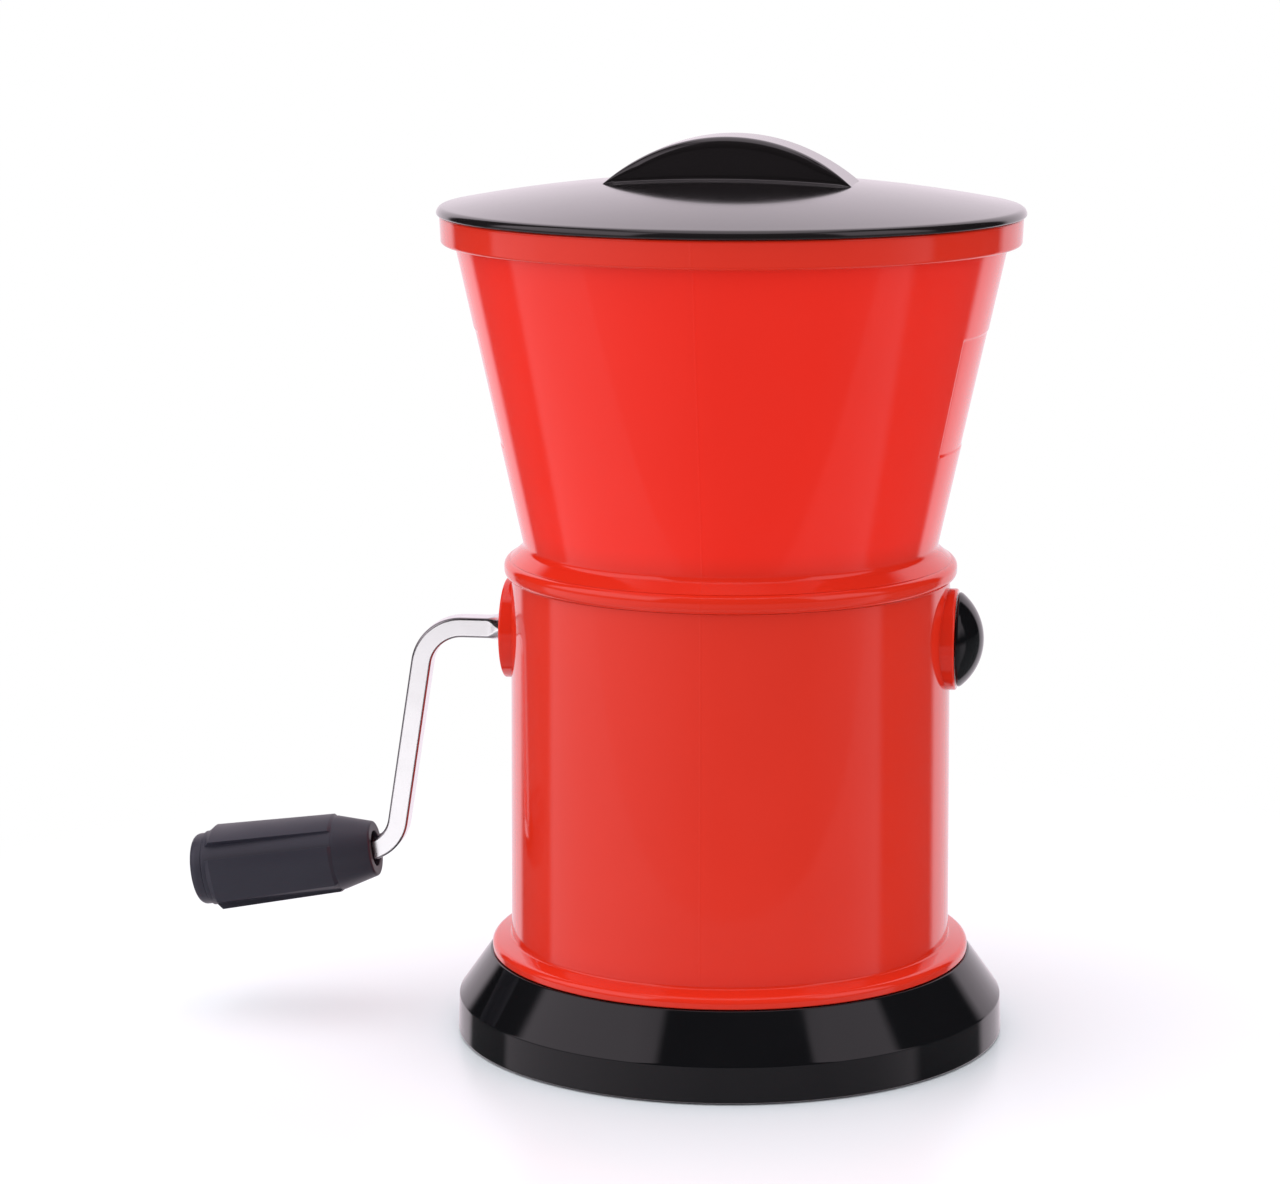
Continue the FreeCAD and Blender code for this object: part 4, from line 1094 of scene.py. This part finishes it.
@dataclass
class Grip:
    """The grip on the spindle: a coned sleeve with four raised pads, and its end cap."""

    crank: Crank = field(default_factory=Crank)
    start: float = 4.95
    nose: float = 6.5
    nose_long: float = 9.0
    core: float = 8.9
    long: float = 40.9
    mouth: float = 4.2
    mouth_deep: float = 7.7
    bore: float = 2.55
    pocket: float = 5.6
    pocket_start: float = 36.0
    pad_run: tuple[float, ...] = (8.4, 8.5, 9.5, 38.6, 39.8, 39.9)
    pad_radius: tuple[float, ...] = (8.1, 8.6, 9.5, 10.4, 9.1, 8.1)
    pad_half_angle: float = math.radians(33.0)
    pad_place: float = math.radians(-10.0)
    pad_flat: float = 0.5
    pad_rows: tuple[float, ...] = (8.45, 9.0, 9.5, 38.6, 39.2, 39.8)
    pad_ends: tuple[float, ...] = (8.42, 8.6, 9.4, 9.6, 38.5, 38.7, 39.7, 39.85)
    cap_radius: float = 8.5
    cap_end: float = 44.0
    cap_play: float = 0.05
    plug_inner: float = 3.9
    plug_run: tuple[float, float] = (38.8, 41.0)

    def origin(self) -> Vector:
        """The middle of the grip's nose, in metres."""
        place = self.crank.elbow() + self.crank.outward() * self.start
        return Vector((place[0], 0.0, place[1])) * MM

    def axis(self) -> Vector:
        """Direction of the grip away from the arm."""
        out = self.crank.outward()
        return Vector((out[0], 0.0, out[1]))

    def sleeve(self) -> Sheet:
        """Carry the sleeve's section round; in four windows of angle the radius rises to the pad's.

        A pad is flatter than the sleeve: its rise falls off from its edges to its middle by a
        share that goes with 1 - t^2, t being the angle from the middle over the half angle.
        """
        path = rounded_path([
            (self.mouth, 0.0, 0.3), (self.nose, 0.0, 0.6), (self.core, self.nose_long, 1.0),
            (self.core, self.long, 0.25), (self.pocket, self.long, 0.1),
            (self.pocket, self.pocket_start, 0.1), (self.bore, self.pocket_start, 0.1),
            (self.bore, self.mouth_deep, 0.1), (self.mouth, self.mouth_deep, 0.2)])
        outer = np.where((path[:, 0] > self.core - 0.3) & (path[:, 1] > 8.2) & (path[:, 1] < 40.6))[0]
        ends = np.array(self.pad_ends)[:, None] + np.linspace(-0.12, 0.12, 3)
        runs = np.concatenate([self.pad_rows, ends.ravel(), np.linspace(10, 38, 12)])
        path = add_points(path, np.unique(runs), slice(int(outer[0]), int(outer[-1]) + 1))
        quarter = math.pi / 2
        sides = np.array([-1, 1]) * self.pad_half_angle
        edges = self.pad_place + np.arange(4)[:, None] * quarter + sides
        around = angles(144, edges.ravel() % TAU, math.radians(0.9), 11)
        turn = np.abs((around - self.pad_place + quarter / 2) % quarter - quarter / 2)
        pad = window(turn, -1.0, self.pad_half_angle, 0.016)
        rise = np.maximum(np.interp(path[:, 1:], self.pad_run, self.pad_radius) - path[:, :1], 0.0)
        rise = rise * (path[:, :1] > self.core - 0.5) * (path[:, 1:] > 8.3) * (path[:, 1:] < 39.95)
        hollow = 1 - self.pad_flat * (1 - np.minimum(turn / self.pad_half_angle, 1.0) ** 2)
        radius = path[:, :1] + rise * pad * hollow
        points = carried(radius, around, path[:, 1:])
        return Sheet(along(points, self.origin(), self.axis()), wrap_rows=True)

    def cap(self) -> Sheet:
        """The end cap: a disc with a rounded rim and a plug in the pocket, turned about the grip."""
        plug, seat_at = self.pocket - self.cap_play, self.long + self.cap_play
        plug_low, plug_high = self.plug_run
        path = rounded_path([
            (-4.0, self.cap_end, SHARP), (self.cap_radius, self.cap_end, 1.6),
            (self.cap_radius, seat_at, 0.2), (plug, seat_at, 0.1), (plug, plug_low, 0.2),
            (self.plug_inner, plug_low, 0.2), (self.plug_inner, plug_high, 0.2), (-4.0, plug_high, SHARP)])
        path = path[path[:, 0] > 0.05]
        path = np.concatenate([[[0.0, self.cap_end]], path, [[0.0, plug_high]]])
        points = turned(path, even_angles(96))
        return Sheet(along(points, self.origin(), self.axis()), first_pole=True, last_pole=True)

    def build(self, finishes: Finishes) -> None:
        """Make the sleeve and cap and seat them on the grip."""
        sleeve = make_piece("ribbed_grip", [self.sleeve()], finishes.of(Slot.GRIP))
        seat(sleeve, Body.GRIP, Slot.GRIP, "grip_sleeve")
        cap = make_piece("grip_cap", [self.cap()], finishes.of(Slot.GRIP))
        seat(cap, Body.GRIP, Slot.GRIP, "grip_end_cap")


class Works:
    """The pieces that keep their solid's shape: rotor, combs, bushes, screws and foot ring."""

    def dress(self, frame: dict, finishes: Finishes) -> None:
        """Give every solid its finish.

        Args:
            frame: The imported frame.
            finishes: The finishes by slot.
        """
        for part in frame["record"]["subparts"]:
            node = frame["nodes"][part["node"]]
            node.data.materials.clear()
            node.data.materials.append(finishes.of(Slot(part["material_slot"])))
            LOG.info("%s: %s", part["node"], part["material_slot"])


# ---------------------------------------------------------------- studio


def area_lamp(
        name: str, size: tuple[float, float], radiance: float, place: Vector, aim: Vector,
) -> bpy.types.Object:
    """Hang a flat lamp that the camera does not see; its power is its radiance times pi times its area.

    Args:
        name: The lamp's name.
        size: Width and height in metres.
        radiance: Brightness of its face.
        place: Where its middle hangs.
        aim: The point it faces.

    Returns:
        The lamp's object.
    """
    lamp = bpy.data.lights.new(name, "AREA")
    lamp.shape = "RECTANGLE"
    lamp.size, lamp.size_y = size
    lamp.energy = radiance * math.pi * size[0] * size[1]
    made = bpy.data.objects.new(name, lamp)
    made.location = place
    made.rotation_euler = (aim - place).to_track_quat("-Z", "Y").to_euler()
    made.visible_camera = False
    bpy.context.scene.collection.objects.link(made)
    return made


@dataclass
class SoftBox:
    """A flat lamp that faces the mill: bearing from the camera's side, sizes in metres."""

    name: str
    bearing: float
    distance: float
    height: float
    size: tuple[float, float]
    radiance: float
    aim: float = 0.1

    def build(self, front: float) -> None:
        """Hang the lamp, unseen by reflections.

        Args:
            front: Bearing of the camera in radians.
        """
        turn = front + math.radians(self.bearing)
        place = Vector((math.sin(turn) * self.distance, -math.cos(turn) * self.distance, self.height))
        made = area_lamp(self.name, self.size, self.radiance, place, Vector((0, 0, self.aim)))
        made.visible_glossy = False


@dataclass
class Studio:
    """White floor, pale surroundings, soft boxes, a card for the crank's steel, and the camera.

    Bands are pairs of bearing in degrees from the camera's side and level of light.
    """

    view_side: float = math.radians(7.5)
    distance: float = 0.89604
    eye_height: float = 0.26836
    pitch: float = math.radians(10.393)
    yaw: float = math.radians(0.034)
    roll: float = math.radians(-0.15)
    lens: float = 110.02
    shift: float = -93.0 / 1280.0
    ambient: float = 0.80
    floor_colour: tuple[float, float, float] = (0.855, 0.895, 0.95)
    floor_gloss: float = 0.22
    floor_front: float = -0.2
    shadow_reach: tuple[float, float] = (0.09, 0.27)
    floor_shown: float = 0.12
    mirrored_hue: tuple[float, float, float] = (1.0, 0.89, 0.97)
    card_size: tuple[float, float] = (0.5, 0.26)
    card_radiance: float = 0.94
    card_place: tuple[float, float, float] = (-0.207, -0.573, -0.115)
    card_aim: tuple[float, float, float] = (-0.08, 0.0, 0.07)
    box_top: float = 0.84
    roof_low: float = 0.9
    high_bands: tuple[tuple[float, float], ...] = (
        (-108.0, 0.0), (-104.0, 1.0), (-41.0, 1.0), (-37.0, 0.0),
        (43.0, 0.0), (46.0, 0.85), (83.0, 0.85), (87.0, 0.0))
    low_bands: tuple[tuple[float, float], ...] = (
        (-110.0, 0.0), (-106.0, 0.72), (-60.0, 0.55), (-35.0, 0.40), (-8.0, 0.24),
        (40.0, 0.20), (62.0, 0.28), (82.0, 0.55), (87.0, 0.0))
    wall_bands: tuple[tuple[float, float], ...] = (
        (-144.0, 0.95), (-139.0, 0.0), (129.0, 0.0), (135.0, 0.95))

    def to_frame(self, x: float, y: float, z: float) -> Vector:
        """Turn a vector from the camera's side to the mill's frame."""
        c, s = math.cos(self.view_side), math.sin(self.view_side)
        return Vector((c * x - s * y, s * x + c * y, z))

    def camera(self) -> None:
        """Place the camera from its distance, height, pitch, yaw and roll."""
        ahead = math.cos(self.pitch)
        forward = Vector((math.sin(self.yaw) * ahead, math.cos(self.yaw) * ahead, -math.sin(self.pitch)))
        right = Vector((math.cos(self.yaw), -math.sin(self.yaw), 0.0))
        down = forward.cross(right)
        level = right * math.cos(self.roll) + down * math.sin(self.roll)
        below = down * math.cos(self.roll) - right * math.sin(self.roll)
        axes = [self.to_frame(*v) for v in (level, -below, -forward)]
        lens = bpy.data.cameras.new("photo_camera")
        lens.lens = self.lens
        lens.sensor_width = 36.0
        lens.shift_x = self.shift
        lens.clip_end = 50.0
        eye = bpy.data.objects.new("photo_camera", lens)
        turn = Matrix(axes).transposed().to_4x4()
        place = self.to_frame(0.0, -self.distance, self.eye_height)
        eye.matrix_world = Matrix.Translation(place) @ turn
        bpy.context.scene.collection.objects.link(eye)
        bpy.context.scene.camera = eye

    def floor(self) -> None:
        """A white floor with a soft shine; away from the mill it goes to plain white for the camera."""
        made = bpy.data.materials.new("white_floor")
        made.use_nodes = True
        graph = Graph(made.node_tree)
        place = graph.add("ShaderNodeTexCoord").outputs["Object"]
        cloud = graph.noise(place, 6.0)
        rough = graph.spread(cloud, 0.3, 0.7, self.floor_gloss, self.floor_gloss + 0.05)
        shine = graph.add("ShaderNodeBsdfPrincipled", {
            "Base Color": (*self.floor_colour, 1.0), "Roughness": rough, "Specular IOR Level": 0.25})
        away = graph.add("ShaderNodeVectorMath", {0: place}, operation="LENGTH").outputs["Value"]
        clear = graph.spread(away, *self.shadow_reach, 0.0, 1.0)
        clear.node.interpolation_type = "SMOOTHSTEP"
        ray = graph.add("ShaderNodeLightPath")
        seen = graph.math("MULTIPLY", ray.outputs["Is Camera Ray"], clear)
        white = graph.add("ShaderNodeEmission", {"Strength": 1.0})
        both = graph.add("ShaderNodeMixShader", {0: seen, 1: shine.outputs[0], 2: white.outputs[0]})
        dim = graph.math("MULTIPLY", ray.outputs["Is Glossy Ray"], 1.0 - self.floor_shown)
        open_floor = graph.add("ShaderNodeBsdfTransparent")
        whole = graph.add("ShaderNodeMixShader", {0: dim, 1: both.outputs[0], 2: open_floor.outputs[0]})
        graph.add("ShaderNodeOutputMaterial", {"Surface": whole.outputs[0]})
        near, far, half = self.floor_front, 4.0, 3.0
        flat = ((-half, near), (half, near), (half, far), (-half, far))
        corners = [self.to_frame(x, y, 0.0) for x, y in flat]
        mesh = bpy.data.meshes.new("floor")
        mesh.from_pydata(corners, [], [(0, 1, 2, 3)])
        mesh.materials.append(made)
        floor = bpy.data.objects.new("floor", mesh)
        bpy.context.scene.collection.objects.link(floor)

    def surroundings(self) -> None:
        """White to the camera, a fill from above to diffuse light, and bands of light to reflections.

        A reflection sees, by bearing from the camera's side, a soft box on each hand, their pale
        trace on the table below, a white wall behind, a light overhead and a dark room between.
        """
        world = bpy.data.worlds.new("studio")
        bpy.context.scene.world = world
        world.use_nodes = True
        graph = Graph(world.node_tree)
        ray = graph.add("ShaderNodeLightPath")
        toward = graph.add("ShaderNodeTexCoord").outputs["Generated"]
        split = graph.add("ShaderNodeSeparateXYZ", {0: toward})
        x, y, up = split.outputs
        c, s = math.cos(self.view_side), math.sin(self.view_side)
        front = graph.math("SUBTRACT", graph.math("MULTIPLY", x, s), graph.math("MULTIPLY", y, c))
        right = graph.math("ADD", graph.math("MULTIPLY", x, c), graph.math("MULTIPLY", y, s))
        bearing = graph.spread(graph.math("ARCTAN2", right, front), -math.pi, math.pi, 0.0, 1.0)
        sets = (self.high_bands, self.low_bands, self.wall_bands)
        high, low, wall = (self.band(graph, bearing, stops) for stops in sets)
        high = graph.math("MULTIPLY", high, graph.spread(up, 0.05, 0.3, 0.0, 1.0))
        top = graph.spread(up, self.box_top - 0.1, self.box_top + 0.1, 1.0, 0.0)
        high = graph.math("MULTIPLY", high, top)
        low = graph.math("MULTIPLY", low, graph.spread(up, -0.16, -0.05, 1.0, 0.0))
        low = graph.math("MULTIPLY", low, graph.spread(up, -0.5, -0.15, 0.6, 1.0))
        bands = graph.math("ADD", graph.math("ADD", high, low), wall)
        roof = graph.spread(up, self.roof_low, self.roof_low + 0.06, 0.0, 1.0)
        bands = graph.math("MAXIMUM", bands, roof)
        shown = graph.math("MULTIPLY", bands, ray.outputs["Is Glossy Ray"])
        fill = graph.spread(up, -0.2, 1.0, self.ambient * 0.84, self.ambient * 1.3)
        fill = graph.math("MULTIPLY", ray.outputs["Is Diffuse Ray"], fill)
        clear = graph.math("MAXIMUM", ray.outputs["Is Camera Ray"], ray.outputs["Is Transmission Ray"])
        total = graph.math("MAXIMUM", clear, graph.math("ADD", shown, fill))
        hue = graph.mix(ray.outputs["Is Glossy Ray"], (1.0, 1.0, 1.0, 1.0), (*self.mirrored_hue, 1.0))
        sky = graph.add("ShaderNodeBackground", {"Color": hue, "Strength": total})
        graph.add("ShaderNodeOutputWorld", {"Surface": sky.outputs[0]})

    def band(
            self, graph: Graph, bearing: bpy.types.NodeSocket, stops: tuple[tuple[float, float], ...],
    ) -> bpy.types.NodeSocket:
        """A level that depends on bearing.

        Args:
            graph: The world's graph.
            bearing: Bearing from 0 to 1 round the circle.
            stops: Pairs of bearing in degrees and level.

        Returns:
            The level's socket.
        """
        node = graph.add("ShaderNodeValToRGB", {"Fac": bearing})
        ramp = node.color_ramp
        while len(ramp.elements) < len(stops):
            ramp.elements.new(1.0)
        for stop, (degrees, level) in zip(ramp.elements, stops):
            stop.position = degrees / 360.0 + 0.5
            stop.color = (level, level, level, 1.0)
        return node.outputs[0]

    def lamps(self) -> None:
        """Two tall boxes at the sides and one overhead, for the shading; the world gives the gloss."""
        for box in (
            SoftBox("left_box", -71.0, 0.85, 0.75, (1.22, 1.5), 0.68),
            SoftBox("right_box", 65.0, 0.95, 0.75, (0.70, 1.5), 0.14),
            SoftBox("top_box", 170.0, 0.1, 1.35, (1.3, 1.1), 1.6),
        ):
            box.build(self.view_side)

    def card(self) -> None:
        """A white card low in front, turned to the crank and seen by its steel alone."""
        place, aim = Vector(self.card_place), Vector(self.card_aim)
        made = area_lamp("crank_card", self.card_size, self.card_radiance, place, aim)
        made.visible_diffuse = False
        shown_to = bpy.data.collections.new("steel_in_the_card")
        shown_to.objects.link(bpy.data.objects["crank"])
        made.light_linking.receiver_collection = shown_to

    def build(self) -> None:
        """Set the studio up."""
        self.camera()
        self.card()
        self.floor()
        self.surroundings()
        self.lamps()
        bpy.context.scene.view_settings.view_transform = "Standard"


def main() -> None:
    """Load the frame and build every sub-assembly in order."""
    logging.basicConfig(level=logging.INFO, format="%(message)s")
    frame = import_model()
    finishes = Finishes()
    Works().dress(frame, finishes)
    for assembly in (BlackBase(), RedBody(), DomedLid(), Crank(), Grip()):
        assembly.build(finishes)
    Studio().build()


if __name__ == "__main__":
    main()
